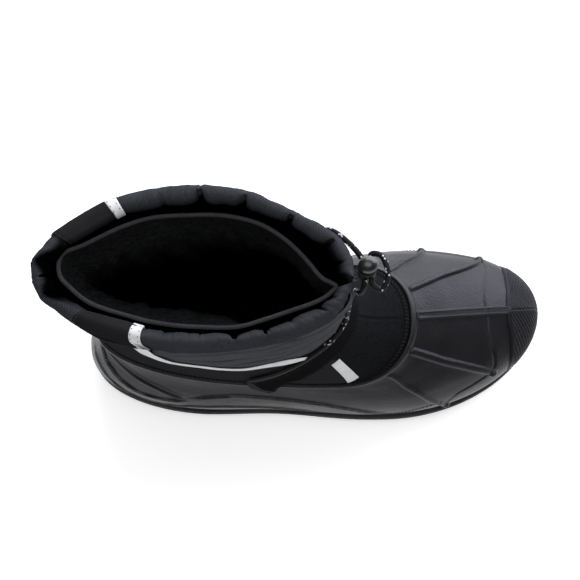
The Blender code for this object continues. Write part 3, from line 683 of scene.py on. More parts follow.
def facets(th, v, P):
    """Panels between the toe ribs are flatter than the outline."""
    edges = []
    for k in (4, 3, 0, 1, 2):
        q = np.array(RIBS[k][0])[::-1]
        edges.append(np.interp(v, q[:, 1], q[:, 0]))
    strength = 0.72 * smooth(0.12, 0.42, v) * (1 - smooth(0.90, 1.0, v))
    out = P.copy()
    for a, b in zip(edges[:-1], edges[1:]):
        u = (th - a) / (b - a)
        inside = (u > 0) & (u < 1)
        chord = env(a, v) * (1 - u)[..., None] + env(b, v) * u[..., None]
        k = np.where(inside, strength, 0.0)[..., None]
        out = out + k * (chord - P)
    return out


def shell_line(points, count):
    p = np.asarray(points, float)
    run = np.concatenate([[0], np.cumsum(np.linalg.norm(np.diff(env(p[:, 0], p[:, 1]), axis=0), axis=1))])
    s = np.linspace(0, run[-1], count)
    th, v = hermite(run, p[:, 0], s), hermite(run, p[:, 1], s)
    return facets(th, v, env(th, v))


def build_shell():
    th = np.concatenate([np.arange(0, 96, 1.2), np.arange(96, 262, 0.46), np.arange(262, 359.5, 1.2)])
    lip = v_from_rim(th, RIM_WIDTH + 1.4)
    t = np.linspace(0, 1, 150)
    V = lip[None, :] * t[:, None]
    T = np.broadcast_to(th, V.shape)
    P = facets(T, V, env(T, V))
    N = grid_normals(P)
    D = np.zeros(V.shape)
    wear_and_highlight = np.zeros(V.shape)
    for pts, half, high, soft in RIBS:
        path = shell_line(pts, 40)
        d, s = line_distance(P, path)
        body = 1 - smooth(half - soft, half + soft, d)
        D = np.maximum(D, high * body)
        wear_and_highlight = np.maximum(wear_and_highlight, 0.10 * np.exp(-((d - half + 0.5) / 0.9) ** 2) * body)
    # the middle bar has a raised lip on each side
    d, s = line_distance(P, shell_line(CENTRE_BAR, 30))
    D += 0.35 * np.exp(-((d - 1.9) / 0.5) ** 2) - 0.25 * np.exp(-(d / 0.9) ** 2)
    for pt in KNOBS:
        d, s = line_distance(P, shell_line([pt, (pt[0] + 0.4, pt[1])], 2))
        D = np.maximum(D, 2.4 * (1 - smooth(0.8, 3.6, d)))
    # toe band: a fine groove, and the band beyond it stands a little higher
    path = shell_line(BAND, 160)
    d, s = line_distance(P, path)
    q = np.array(sorted(BAND))
    below = V < np.interp(T, q[:, 0], q[:, 1], left=-1, right=-1)
    D += np.where(below & (D < 0.9), 0.3 * smooth(0.0, 2.5, d), 0.0) - 0.45 * np.exp(-(d / 0.75) ** 2)
    for side in (lambda k: k, mirror):
        path = shell_line(side(HEEL_GROOVE), 60)
        d, s = line_distance(P, path)
        fade = smooth(0.0, 0.12, s) * (1 - smooth(0.92, 1.0, s))
        D -= fade * 1.1 * np.exp(-(d / 0.75) ** 2)
        D += fade * 0.5 * np.exp(-((d - 2.0) / 0.9) ** 2)
        for line, high, ledge_worn_lit in ((HEEL_LEDGE, 1.3, 0.95), (SIDE_LEDGE, 1.1, 0.8), (HEEL_LOW, 0.9, 0.7)):
            pts = side(line)
            path = shell_line(pts, 90)
            d, s = line_distance(P, path)
            q = np.array(sorted(pts))
            edge = np.interp(T, q[:, 0], q[:, 1], left=-1, right=-1)
            signed = np.where(V < edge, d, -d)
            fade = smooth(0.0, 0.10, s) * (1 - smooth(0.90, 1.0, s))
            drop = np.exp(-np.clip(signed, 0, None) / 9.0)
            D += fade * high * smooth(-0.5, 0.5, signed) * drop
            D -= fade * 0.55 * np.exp(-((signed + 0.9) / 0.6) ** 2)
            # lighter along each ledge's upward edge: wear, and a painted highlight where the ledge catches the light
            wear_and_highlight = np.maximum(wear_and_highlight, fade * ledge_worn_lit * np.exp(-((signed - 0.3) / 0.7) ** 2))
        path = shell_line(side(SIDE_DASH), 60)
        d, s = line_distance(P, path)
        D -= 0.4 * np.exp(-(d / 0.7) ** 2)
    # slight unevenness of a moulded wall
    D += 0.05 * noise2(T / 40.0, V * 1.6, 3)
    D *= smooth(0.0, 0.02, V)
    rows = [P + N * D[..., None]]
    # rolled top edge, then down inside
    for dist, off in ((4.7, 0.15), (4.3, 0.55), (3.9, 0.90), (3.4, 1.06), (2.6, 1.18), (1.8, 1.20), (1.1, 1.14),
                      (0.5, 0.95), (0.15, 0.60), (0.0, 0.1)):
        rows.append(surf(th, v_from_rim(th, dist), off)[None])
    for dist, off in ((0.0, -0.6), (0.2, -1.6), (0.6, -2.6), (2.0, -3.0), (6.0, -3.0), (12.0, -3.0)):
        rows.append(surf(th, v_from_rim(th, dist), off)[None])
    Q = np.concatenate(rows)
    Q[0, :, 2] = SOLE_TOP + spring(Q[0, :, 0]) - 0.1
    extra = np.zeros((len(Q) - len(V), len(th)))
    extra[3:7] = 0.10
    ob = grid("shell_moulding", Q, SHELL_M, closed=True, points={"wear_and_highlight": np.concatenate([wear_and_highlight, extra])})
    return finish_piece(ob, nodes=["shell"])


build_shell()

# small moulded dashes low on each side
for tag, side in (("outer", lambda a: a), ("inner", lambda a: 360.0 - a)):
    a = side(np.linspace(86, 110, 120))
    q = np.array(SIDE_DASH)
    v = np.interp(side(a), q[:, 0], q[:, 1])
    finish_piece(stitches("side_dash_" + tag, surf(a, v, 0.15), normal(a, v), MARK_WORN_LIT_M, 1.5, 1.0, 0.7, 0.45, 20))
    a = side(np.linspace(53, 76, 140))
    q = np.array(SIDE_LEDGE)
    v = np.interp(side(a), q[:, 0], q[:, 1])
    finish_piece(stitches("ledge_dash_" + tag, surf(a, v, 0.75), normal(a, v), MARK_WORN_LIT_M, 1.3, 0.9, 0.6, 0.35, 10))


# ---------------------------------------------------------------- outsole
def edge_stations(count):
    th = np.linspace(0.0, 180.0, 721)
    p = env(th, 0.0)[:, :2]
    run = np.concatenate([[0], np.cumsum(np.linalg.norm(np.diff(p, axis=0), axis=1))])
    half = np.interp(np.linspace(0, run[-1], count + 1), run, th)
    return np.concatenate([half, 360.0 - half[-2:0:-1]])


def build_outsole():
    sub, sub_c = 4, 3
    half, cols = SOLE_STRIPS * sub, (len(SOLE_COLUMNS) - 1) * sub_c
    around = 2 * half
    th = edge_stations(half)
    share = np.interp(np.arange(cols + 1) / sub_c, np.arange(len(SOLE_COLUMNS)), SOLE_COLUMNS)
    ring = lambda out: env(th, 0.0, -out)[:, :2]
    rim, foot = ring(FLANGE), ring(FLANGE - 1.0)
    top_h = lambda x: SOLE_TOP - CLEAR + spring(x)
    lug_h = lambda x: np.interp(x, TREAD[:, 0], TREAD[:, 1])
    groove_h = lambda x: np.interp(x, TREAD[:, 0], TREAD[:, 2])
    verts, faces = [], []

    def add(p):
        verts.append(p)
        return len(verts) - 1

    def table(height, across):
        ids = []
        for i in range(half + 1):
            row = []
            for w in ([0.0] if i in (0, half) else across):
                p = foot[i] * (1 - w) + foot[(around - i) % around] * w
                row.append(add((p[0], p[1], float(height(p[0])))))
            ids.append(row * (len(across) if len(row) == 1 else 1))
        return ids

    def face(ids):
        out = list(dict.fromkeys(ids))
        if len(out) > 2:
            faces.append(tuple(out))

    coarse = env(edge_stations(SOLE_STRIPS), 0.0, -(FLANGE - 1.0))[:, 0]

    def is_lug(i, j):
        if not (0 <= i < half and 0 <= j < cols):
            return False
        i, j = i // sub, j // sub_c
        last, right = SOLE_STRIPS, len(SOLE_COLUMNS) - 2
        if i < 2 or i >= last - 2:
            return True
        x = 0.5 * (coarse[i] + coarse[i + 1])
        if j in (0, right):
            return i % 3 != 1
        if ARCH[0] < x < ARCH[1] or i < 4 or i >= last - 4:
            return False
        return j in (2, 4) and i % 3 != 2

    base, low = table(groove_h, share), table(lug_h, share)
    for i in range(half):
        for j in range(cols):
            ids = low if is_lug(i, j) else base
            face((ids[i][j], ids[i + 1][j], ids[i + 1][j + 1], ids[i][j + 1]))
            if not is_lug(i, j):
                continue
            for (di, dj), (a, b) in (((-1, 0), ((i, j), (i, j + 1))), ((1, 0), ((i + 1, j), (i + 1, j + 1))),
                                     ((0, -1), ((i, j), (i + 1, j))), ((0, 1), ((i, j + 1), (i + 1, j + 1)))):
                if not is_lug(i + di, j + dj):
                    face((base[a[0]][a[1]], base[b[0]][b[1]], low[b[0]][b[1]], low[a[0]][a[1]]))
    # side wall from the groove line up, with a rib, a groove and a rounded ledge, and in under the shell
    profile = [(1.6, 0.0), (1.9, 0.20), (2.2, 0.40), (2.9, 0.46), (3.3, 0.50), (3.4, 0.56), (3.4, 0.62), (3.0, 0.65),
               (3.0, 0.68), (3.4, 0.71), (3.4, 0.82), (3.3, 0.90), (3.0, 0.96), (2.5, 1.0), (1.2, 1.0), (-2.0, 1.0)]
    wall = []
    for out, lift in profile[1:]:
        xy = ring(out)
        wall.append([add((xy[i][0], xy[i][1], float(groove_h(foot[i][0]) + (top_h(rim[i][0]) - groove_h(foot[i][0])) * lift)))
                     for i in range(around)])
    base_ring = [base[i][0] if i <= half else base[around - i][-1] for i in range(around)]
    for a, b in zip([base_ring] + wall[:-1], wall):
        for i in range(around):
            j = (i + 1) % around
            face((a[i], a[j], b[j], b[i]))
    ob = build("outsole_moulding", np.array(verts), faces, SOLE_M)
    wear_and_highlight = ob.data.attributes.new("wear_and_highlight", "FLOAT", "POINT")
    values = np.zeros(len(ob.data.vertices))
    # the rounded ledge rows are lighter: wear, and a painted highlight on the ledge's top
    for k, amount in ((9, 0.35), (10, 0.6), (11, 0.8), (12, 0.5)):
        values[wall[k - 1]] = amount
    wear_and_highlight.data.foreach_set("value", values)
    mod = ob.modifiers.new("edges", "BEVEL")
    mod.width, mod.segments, mod.limit_method, mod.angle_limit = 0.0006, 2, "ANGLE", math.radians(48)
    ob.modifiers.new("shade", "WEIGHTED_NORMAL").keep_sharp = True
    finish_piece(ob, nodes=["outsole"])
    # small slanted marks in two rows on the ledge and the wall
    for tag, out, lift, slant in (("ledge", 1.5, 1.0, 40), ("wall", 3.45, 0.76, 50)):
        xy = ring(out)
        z = groove_h(foot[:, 0]) + (top_h(rim[:, 0]) - groove_h(foot[:, 0])) * lift
        line = np.concatenate([xy, z[:, None]], 1)
        line = np.concatenate([line, line[:1]])
        if tag == "ledge":
            nor = np.tile([0.0, 0.0, 1.0], (len(line), 1))
        else:
            tan = np.gradient(line, axis=0)
            nor = np.cross(tan, [0.0, 0.0, 1.0])
            nor /= np.linalg.norm(nor, axis=1, keepdims=True)
        finish_piece(stitches("sole_marks_" + tag, line, nor, MARK_WORN_LIT_M, 1.5, 0.5, 0.5, 0.3, slant))


build_outsole()


# ---------------------------------------------------------------- toe bumper
def build_bumper():
    th = np.linspace(BUMPER_MID - BUMPER_HALF, BUMPER_MID + BUMPER_HALF, 460)
    top = hermite(BUMPER[:, 0], BUMPER[:, 1], np.abs(th - BUMPER_MID))
    share = np.concatenate([np.linspace(0, 0.97, 165), np.array([0.98, 0.988, 0.995, 1.0])])
    T = np.broadcast_to(th, (len(share), len(th)))
    V = 0.03 + (top[None, :] - 0.03) * share[:, None]
    P = facets(T, V, env(T, V))
    N = grid_normals(P, closed=False)
    a = np.concatenate([np.zeros((len(share), 1)), np.cumsum(np.linalg.norm(np.diff(P, axis=1), axis=-1), 1)], 1)
    a -= a[:, len(th) // 2][:, None]
    b = np.concatenate([np.zeros((1, len(th))), np.cumsum(np.linalg.norm(np.diff(P, axis=0), axis=-1), 0)])
    from_top = b[-1][None, :] - b
    ends = BUMPER_HALF - np.abs(T - BUMPER_MID)
    lift = BUMPER_PROUD * np.clip(ends / 5.0, 0.4, 1.0) * (0.45 + 0.55 * smooth(0.0, 1.4, from_top))
    pitch = 2.3
    knurl = 0.5 + 0.25 * (np.cos(2 * math.pi * (a + b) / pitch) + np.cos(2 * math.pi * (a - b) / pitch))
    field = smooth(1.6, 2.8, from_top) * smooth(3.0, 7.0, ends) * smooth(2.0, 5.0, b)
    D = CLEAR + lift + field * (0.5 * knurl - 0.35)
    D -= 0.5 * np.exp(-((a + 0.6) / 0.45) ** 2)
    Q = P + N * D[..., None]
    skirt, foot = P[-1:], P[:1]
    Q = np.concatenate([foot, Q, skirt])
    # lighter along the top edge and on the knurl's raised tops: wear, and a painted highlight on the raised parts
    wear_and_highlight = np.concatenate([0 * a[:1], np.exp(-((from_top - 0.8) / 0.8) ** 2) * 0.4 + field * 0.95 * smooth(0.45, 0.85, knurl), 0 * a[:1]])
    side_a, side_b = P[:, 0], P[:, -1]
    left = np.concatenate([foot[0, :1], side_a, skirt[0, :1]])[:, None]
    right = np.concatenate([foot[0, -1:], side_b, skirt[0, -1:]])[:, None]
    Q = np.concatenate([left, Q, right], 1)
    wear_and_highlight = np.concatenate([wear_and_highlight[:, :1], wear_and_highlight, wear_and_highlight[:, -1:]], 1)
    ob = grid("toe_bumper_knurled", Q, BUMPER_M, points={"wear_and_highlight": wear_and_highlight})
    finish_piece(ob, nodes=["toe_bumper"])


build_bumper()

# ---------------------------------------------------------------- upper
VAMP_EDGE = np.array([(0.9, 98.0), (1.0, 102.0), (1.053, 105.0), (1.339, 127.7), (1.5, 141.0), (1.6, 150.0), (2.0, 170.0)])
VAMP_SEAM = [(178.2, 1.02), (178, 1.06), (176.3, 1.20), (174.6, 1.33), (173.4, 1.46)]


def build_upper():
    th = np.arange(0, 360, 0.75)
    tuck = [v_from_rim(th, d) for d in (7.0, 4.0, 2.0, 0.6, 0.0)]
    rows = tuck + [np.full(len(th), v) for v in np.concatenate([np.linspace(1.004, 1.04, 8), np.linspace(1.048, 1.874, 90)])]
    V = np.array(rows)
    T = np.broadcast_to(th, V.shape)
    D = skin_off(V)
    P = surf(T, V, D)
    N = grid_normals(P)
    R = np.zeros(V.shape)
    fold = np.where(T <= 180, T, 360 - T)
    # soft folds of the quarter, running from the heel forward and down
    for v0, slope, deep, wide, lo, hi in ((1.30, -0.0016, 0.9, 0.035, 14, 100), (1.16, -0.0010, 0.7, 0.026, 20, 92),
                                          (1.44, -0.0022, 0.8, 0.040, 8, 64), (1.60, -0.001, 0.8, 0.045, 6, 56),
                                          (1.44, -0.0008, 1.3, 0.020, 52, 112)):
        line = v0 + slope * (fold - 40) + 0.012 * np.sin(fold / 9.0)
        part = smooth(lo, lo + 16, fold) * (1 - smooth(hi - 18, hi, fold))
        R -= part * deep * np.exp(-((V - line) / wide) ** 2)
        R += part * 0.5 * deep * np.exp(-((V - line - 1.7 * wide) / wide) ** 2)
    # creases over the instep, under and beside the strap
    for v0, deep in ((1.60, 0.8), (1.68, 0.9), (1.76, 0.7)):
        R -= deep * smooth(150, 172, fold) * np.exp(-((V - v0 - 0.0006 * (180 - fold)) / 0.018) ** 2)
    R += 0.22 * noise2(T / 36.0, V * 2.6, 5) * smooth(1.03, 1.1, V)
    # centre seam of the vamp
    path, _ = on_form(VAMP_SEAM, 60, -0.8)
    d, s = line_distance(P, path)
    R += 0.35 * np.exp(-((d - 1.6) / 1.3) ** 2) - 0.75 * np.exp(-(d / 0.55) ** 2)
    R *= smooth(1.0, 1.05, V)
    P = P + N * R[..., None]
    edge = np.interp(V, VAMP_EDGE[:, 0], VAMP_EDGE[:, 1])
    front = (fold > edge)
    f = front[:-1, :]
    ob = grid("upper_skin", P, [QUARTER_M, VAMP_M], closed=True, index=f.astype(int).ravel())
    finish_piece(ob, nodes=["upper"])
    seam, nor = on_form(VAMP_SEAM, 160, -0.95)
    finish_piece(stitches("vamp_seam_stitch", seam, nor, THREAD_M, 1.3, 0.8, 0.6, 0.35))


build_upper()


def build_edge_binding():
    """Overlocked band where the fabric meets the shell."""
    th = np.linspace(4, 356, 800)
    fold = np.where(th <= 180, th, 360 - th)
    wide = 1.1 + 3.2 * smooth(92, 140, fold)
    V = np.array([v_from_rim(th, -(0.15 + d * wide)) for d in np.linspace(0, 0.97, 12)])
    T = np.broadcast_to(th, V.shape)
    crown = np.sin(np.linspace(0, math.pi, 12)) ** 0.6
    off = -1.25 + (0.45 + 0.5 * smooth(92, 140, fold))[None] * crown[:, None]
    P = surf(T, V, off)
    finish_piece(grid("throat_binding", P, STRAP_M))
    front = (th > 112) & (th < 248)
    for tag, d, slant in (("low", 1.3, 42), ("high", 3.0, -42)):
        a = th[front]
        v = v_from_rim(a, -d * (0.3 + 0.7 * smooth(112, 140, fold[front])))
        finish_piece(stitches("throat_overlock_" + tag, surf(a, v, -0.25), normal(a, v), OVERLOCK_M, 2.2, 0.25, 0.85,
                              0.5, slant))
    for tag, lo, hi in (("outer", 8, 112), ("inner", 248, 352)):
        a = np.linspace(lo, hi, 420)
        v = v_from_rim(a, -0.7)
        finish_piece(stitches("rim_stitch_" + tag, surf(a, v, -0.65), normal(a, v), THREAD_GREY_M, 1.3, 1.6, 0.5, 0.35))


build_edge_binding()

# the nylon shaft panel: lower edge as height over angle, and its rear edge leans forward to the collar
SHAFT_REAR = 66.5
SHAFT_LOW = np.array([(66.5, 1.69), (68, 1.645), (70, 1.625), (74, 1.595), (78, 1.55), (82, 1.50), (88, 1.478), (97, 1.487), (110, 1.503),
                      (118, 1.513), (130, 1.53), (146, 1.565), (163, 1.59), (180, 1.596)])
SHAFT_TOP = 1.893


def shaft_point(th0, b):
    """Angle and height on the panel. th0 from SHAFT_REAR to 180 on the outer side, b from 0 low to 1 top."""
    fold = np.where(th0 <= 180, th0, 360 - th0)
    low = np.interp(fold, SHAFT_LOW[:, 0], SHAFT_LOW[:, 1])
    lean = 3.0 * np.exp(-(fold - SHAFT_REAR) / 6.0) * b ** 1.4
    th = fold + lean
    return np.where(th0 <= 180, th, 360 - th), low + (SHAFT_TOP - low) * b


def build_shaft():
    th0 = np.concatenate([np.linspace(SHAFT_REAR, 76, 40), np.linspace(76.6, 180, 180)])
    th0 = np.concatenate([th0, 360 - th0[-2::-1]])
    b = np.concatenate([[0, 0.006, 0.014, 0.025], np.linspace(0.04, 1.0, 66)])
    B, T0 = np.meshgrid(b, th0, indexing="ij")
    T, V = shaft_point(T0, B)
    fold = np.where(T0 <= 180, T0, 360 - T0)
    puff = np.sin(math.pi * np.clip(B, 0, 1)) ** 0.8
    D = -0.9 + 0.75 * smooth(0, 0.02, B) + 0.7 * puff * smooth(SHAFT_REAR, 78, fold)
    edge = smooth(SHAFT_REAR, SHAFT_REAR + 1.1, fold)
    D = -0.9 + (D + 0.9) * edge
    # soft folds round the shaft; the fold lines are also darkened in colour, painted shade
    shade = np.zeros(D.shape)
    for b0, tilt, deep, wide, start in ((0.87, 0.0003, 1.5, 0.032, 60), (0.70, 0.0012, 1.3, 0.036, 100), (0.50, -0.0009, 0.7, 0.05, 60),
                                        (0.27, 0.0007, 0.6, 0.05, 60)):
        line = b0 + tilt * (fold - 100) + 0.014 * np.sin(fold / 7.0 + 9 * b0)
        here = edge * smooth(start, start + 14, fold)
        D -= deep * np.exp(-((B - line) / wide) ** 2) * here
        D += 0.5 * deep * np.exp(-((B - line - 1.9 * wide) / wide) ** 2) * here
        D += 0.4 * deep * np.exp(-((B - line + 1.9 * wide) / wide) ** 2) * here
        shade = np.maximum(shade, 0.8 * deep * np.exp(-((B - line) / (0.6 * wide)) ** 2) * here)
    D += 0.35 * noise2(T / 30.0, V * 3.0, 8) * edge
    # the inner tab lies further back, and the panel reaches to it
    T = T + np.where(T0 > 180, 6.9 * smooth(1.62, 1.93, V) * (1 - smooth(SHAFT_REAR, 104, fold)), 0.0)
    # drawn in towards the collar's seam, and at the front
    D -= 1.3 * smooth(0.90, 1.0, B)
    # the fold lines' darkness goes into the deep attribute as painted shade
    ob = grid("shaft_panel", surf(T, V, D), NYLON_M, points={"deep": np.clip(shade, 0, 0.86)})
    finish_piece(ob)


build_shaft()


# ---------------------------------------------------------------- collar
GATHERS = np.array([  # angle, depth of the notch in mm, straightness of the stretch after it, slope of that stretch in mm
    (3.0, 1.2, 0.95, -1.0), (16.1, 2.4, 0.95, 1.0), (38.3, 1.6, 0.6, 0.0), (68.0, 0.2, 0.2, 0.0),
    (76.0, 0.5, 0.1, 0.2), (90.0, 0.4, 0.1, 0.0), (104.2, 3.2, 0.1, 0.4), (117.2, 2.6, 0.1, -0.3),
    (131.0, 0.6, 0.1, 0.0), (151.0, 2.8, 0.2, 0.0), (166.0, 0.6, 0.2, 0.0), (183.6, 0.8, 0.9, -0.8),
    (196.9, 0.8, 0.3, 0.6), (208.6, 3.6, 0.3, -0.5), (228.1, 2.8, 0.2, 0.4), (248.0, 2.8, 0.15, -0.4),
    (266.0, 3.0, 0.15, 0.4), (281.6, 0.9, 0.15, 0.0), (299.5, 0.2, 0.5, 0.0), (330.8, 1.4, 0.95, 1.0),
    (350.6, 2.6, 0.95, -1.0)])
COLLAR_REACH = np.array([  # angle, how far the roll stands out from the outline, how far its inner edge lies inside it
    (-9.4, 3.7, 8.4), (3.0, 2.6, 8.6), (16.1, 2.0, 8.8), (33, -0.8, 9.8), (38.3, -1.9, 11.0), (46, -2.1, 12.2), (57.8, -1.9, 12.8),
    (63, -1.7, 11.9), (69, -1.4, 10.8), (76, -0.4, 10.0), (91, 0.0, 8.9), (101, 0.0, 8.0), (110, 0.0, 7.0), (120.5, 0.0, 7.6),
    (132, -0.5, 10.2), (140, -1.2, 12.0), (148, -1.8, 12.4), (154, -2.4, 12.4), (160, -3.6, 12.4), (167, -4.4, 12.0),
    (175, -3.2, 11.0), (183.6, -0.6, 9.4), (190, 1.6, 9.0), (197, 3.2, 7.8), (203.7, 4.9, 6.4), (210, 4.9, 5.6), (217, 3.7, 6.9),
    (228.1, 0.9, 8.4), (237.5, 0.7, 8.8), (248.8, 1.2, 9.0), (266, 1.2, 10.0), (285.7, 1.9, 9.8), (292, 2.0, 9.4), (298.4, 2.2, 8.8),
    (303.8, 2.0, 9.6), (312, 1.6, 10.6), (322, 1.2, 11.2), (330.6, 1.4, 10.8), (338, 2.2, 10.0), (350.6, 3.7, 8.4), (363.0, 2.6, 8.6)])
COLLAR_ROLL = np.array([  # inset and height across the tunnel: outside, over the top, curled under, down inside
    (1.0, 1.858), (0.3, 1.882), (-0.1, 1.905), (-0.5, 1.94), (0.0, 1.972), (1.6, 1.990), (3.6, 1.999), (5.6, 2.0),
    (7.6, 1.996), (9.2, 1.988), (10.0, 1.977), (9.8, 1.966), (8.4, 1.958), (6.4, 1.950), (5.2, 1.930), (4.8, 1.88),
    (4.8, 1.80)])


COLLAR_TIP = 183.6


def collar_profile(count):
    scaled = np.stack([COLLAR_ROLL[:, 0], COLLAR_ROLL[:, 1] * 205.0], -1)
    run = np.concatenate([[0], np.cumsum(np.linalg.norm(np.diff(scaled, axis=0), axis=1))])
    s = np.linspace(0, run[-1], count)
    return np.stack([hermite(run, COLLAR_ROLL[:, k], s, True) for k in (0, 1)], -1), s / run[-1], run / run[-1]


def collar_base(th, inset, v):
    """Collar section at an angle: corners stand out at the gathers and the stretches between them are straighter."""
    g = GATHERS[:, 0]
    ext = np.concatenate([[g[-1] - 360], g, [g[0] + 360]])
    flat = np.concatenate([[GATHERS[-1, 2]], GATHERS[:, 2], [GATHERS[0, 2]]])
    i = np.clip(np.searchsorted(ext, th, side="right") - 1, 0, len(ext) - 2)
    u = (th - ext[i]) / (ext[i + 1] - ext[i])
    high = smooth(1.87, 1.93, v)

    def at(angle):
        out = hermite(COLLAR_REACH[:, 0], COLLAR_REACH[:, 1], (angle + 9.4) % 360 - 9.4, True)
        inn = hermite(COLLAR_REACH[:, 0], COLLAR_REACH[:, 2], (angle + 9.4) % 360 - 9.4, True)
        low = np.clip(0.5 + 0.6 * out, -0.4, 0.5)
        out = low + (out - low) * high
        return env(angle, v, -out + (inset + 0.5) * (inn + out) / 10.5)

    P = at(th)
    chord = at(ext[i]) * (1 - u)[..., None] + at(ext[i + 1]) * u[..., None]
    return P + (flat[i] * high)[..., None] * (chord - P), u, i


def collar_shape(th, count, lift=0.0, calm=0.0):
    """Rows of points across the roll at each angle. lift pushes out, calm leaves the gathers away."""
    prof, share, marks = collar_profile(count)
    T = np.broadcast_to(th % 360.0, (count, len(th)))
    s = share[:, None]
    top_s, edge_s = marks[7], marks[10]
    inner = smooth(top_s - 0.05, edge_s - 0.03, s) * (1 - smooth(edge_s + 0.10, edge_s + 0.22, s))
    top = np.exp(-((s - top_s) / 0.09) ** 2)
    outer = smooth(marks[1], marks[3], s) * (1 - smooth(marks[4], top_s, s))
    radius = np.linalg.norm(env(th, 2.0)[:, :2] - np.array([86.0, 2.0]), axis=1)
    notch, crease, sharp = (np.zeros(len(th)) for _ in range(3))
    # at the front tip both sides of the roll meet in a fold
    meet = np.clip(1 - np.abs((th - COLLAR_TIP + 180) % 360 - 180) * math.pi / 180 * radius / 9.0, 0, 1)
    for a, deep, flat, slope in GATHERS:
        gap = ((th - a + 180) % 360 - 180) * math.pi / 180 * radius
        gap = np.where(gap < 0, -gap * 1.5, gap)
        notch = np.maximum(notch, deep * np.exp(-(gap / 2.0) ** 1.2))
        crease = np.maximum(crease, min(deep, 3.0) / 3.0 * np.exp(-(gap / 0.8) ** 2))
        sharp = np.maximum(sharp, (flat >= 0.9) * np.exp(-(gap / 0.9) ** 2))
    _, u, i = collar_base(T, np.zeros(T.shape), np.full(T.shape, 1.95))
    slope = np.concatenate([[GATHERS[-1, 3]], GATHERS[:, 3], [GATHERS[0, 3]]])[i]
    arch = np.clip(4 * u * (1 - u), 0, 1) ** 0.25
    scallop = (1 - calm) * (0.9 * (arch - 0.9) - notch[None])
    inset = (prof[:, :1] + scallop * inner) * (1 - 0.86 * meet[None])
    P, _, _ = collar_base(T, inset, np.broadcast_to(prof[:, 1:], T.shape))
    N = np.cross(np.gradient(P, axis=1), np.gradient(P, axis=0))
    N /= np.maximum(np.linalg.norm(N, axis=-1, keepdims=True), 1e-9)
    fold = np.clip(notch, 0, 3.0)[None] / 3.0
    gathered = noise2(T / 2.6, s * 1.3, 23) * (0.08 + 0.35 * fold) * (top + 0.4 * outer + inner)
    soft = 0.2 * noise2(T / 12.0, s * 2.0, 21)
    D = (0.2 * (arch - 0.6) * top - (0.35 * top + 0.45 * inner) * fold + slope * (u - 0.5) * (top + inner)
         - (0.55 * top + 0.5 * inner) * crease[None] - (1.1 * top + 0.9 * outer + 0.8 * inner) * sharp[None]
         - 1.6 * (top + outer) * meet[None] ** 2 + gathered + soft)
    D = lift + (1 - calm) * D
    D = D * smooth(0.0, 0.06, s)
    return P + N * D[..., None], share, marks


def build_collar():
    th = np.arange(0, 360, 0.5)
    P, share, marks = collar_shape(th, 60)
    # rows that curl under and go down inside take the near-black material: painted shade
    shaded_rows = (share[:-1] > marks[11])[:, None] * np.ones(len(th))
    # the inner half lies in the shade of the roll, most of all at the back
    rear = 1 - smooth(20, 42, np.abs((th + 180) % 360 - 180))
    sh = share[:, None]
    tip = smooth(184, 188, th) * (1 - smooth(206, 214, th))
    # deep: painted shade mixed into the collar's colour, on the inner half and near the front tip
    deep = (np.maximum(0.35 * smooth(marks[7], marks[10], sh), 0.95 * smooth(marks[6], marks[9], sh) * tip[None]) * (1 - rear)[None]
            + smooth(0.0, 0.55, (sh - marks[5]) / (marks[8] - marks[5]) - 0.55 * (0.5 + 0.5 * np.sin(np.radians(th * 14 + 40)))[None]) * rear[None])
    ob = grid("collar_tunnel", P, [COLLAR_M, SHADE_BLACK_M], closed=True, index=shaded_rows.astype(int).ravel(), points={"deep": deep})
    finish_piece(ob, nodes=["collar"])
    # smooth sleeves at both sides of the back, and the reflective tabs that end them
    lo_row, hi_row = int(np.searchsorted(share, marks[1])), int(np.searchsorted(share, marks[12]))
    for tag, lo, hi in (("outer", 36.4, 64.6), ("inner", 302.8, 332.4)):
        a = np.linspace(lo, hi, 70)
        C = collar_shape(a, 60, 0.0, 0.85)[0]
        S = collar_shape(a, 60, 0.5, 0.85)[0]
        bulk = np.minimum(smooth(lo, lo + 0.8, a), 1 - smooth(hi - 0.8, hi, a))
        S = C + (S - C) * (0.15 + 0.85 * bulk)[None, :, None]
        r0, r1 = int(np.searchsorted(share, marks[5])), int(np.searchsorted(share, marks[9]))
        t = np.linspace(0, 1, r1 - r0)[:, None]
        S[r0:r1, :, 2] = np.maximum(S[r0:r1, :, 2], S[r0, :, 2] * (1 - t) + (S[r0, :, 2] - 0.3) * t + 0.5 * np.sin(math.pi * t))
        finish_piece(grid("collar_sleeve_" + tag, S[lo_row:hi_row], SLEEVE_M))
        edge = lo + 1.6 if tag == "outer" else hi - 1.6
        line = collar_shape(np.array([edge - 0.2, edge, edge + 0.2]), 60, 0.6, 0.85)[0]
        nor = grid_normals(line, closed=False)
        r = slice(lo_row + 2, hi_row - 4)
        finish_piece(stitches("sleeve_stitch_" + tag, line[r, 1], nor[r, 1], THREAD_GREY_M, 1.5, 1.2, 0.6, 0.3))
    for tag, lo, hi in (("outer", 63.6, 68.9), ("inner", 298.3, 303.4)):
        a = np.linspace(lo, hi, 24)
        w = smooth(marks[3], marks[10], share)[:, None, None]
        turn = 1.9 if tag == "outer" else 0.0
        S, C = (collar_shape(a, 60, k, 0.9)[0] * (1 - w) + collar_shape(a - turn, 60, k, 0.9)[0] * w for k in (0.9, 0.3))
        bulk = np.minimum(smooth(lo, lo + 0.5, a), 1 - smooth(hi - 0.5, hi, a))
        S = C + (S - C) * bulk[None, :, None]
        finish_piece(grid("collar_tab_" + tag, S[lo_row:hi_row], WHITE_M))
        nor = grid_normals(S, closed=False)
        r = slice(lo_row + 2, hi_row - 5)
        for k in (4, 19):
            finish_piece(stitches("tab_stitch_%s_%d" % (tag, k), S[r, k], nor[r, k], THREAD_GREY_M, 0.9, 2.4, 0.5, 0.25))


build_collar()


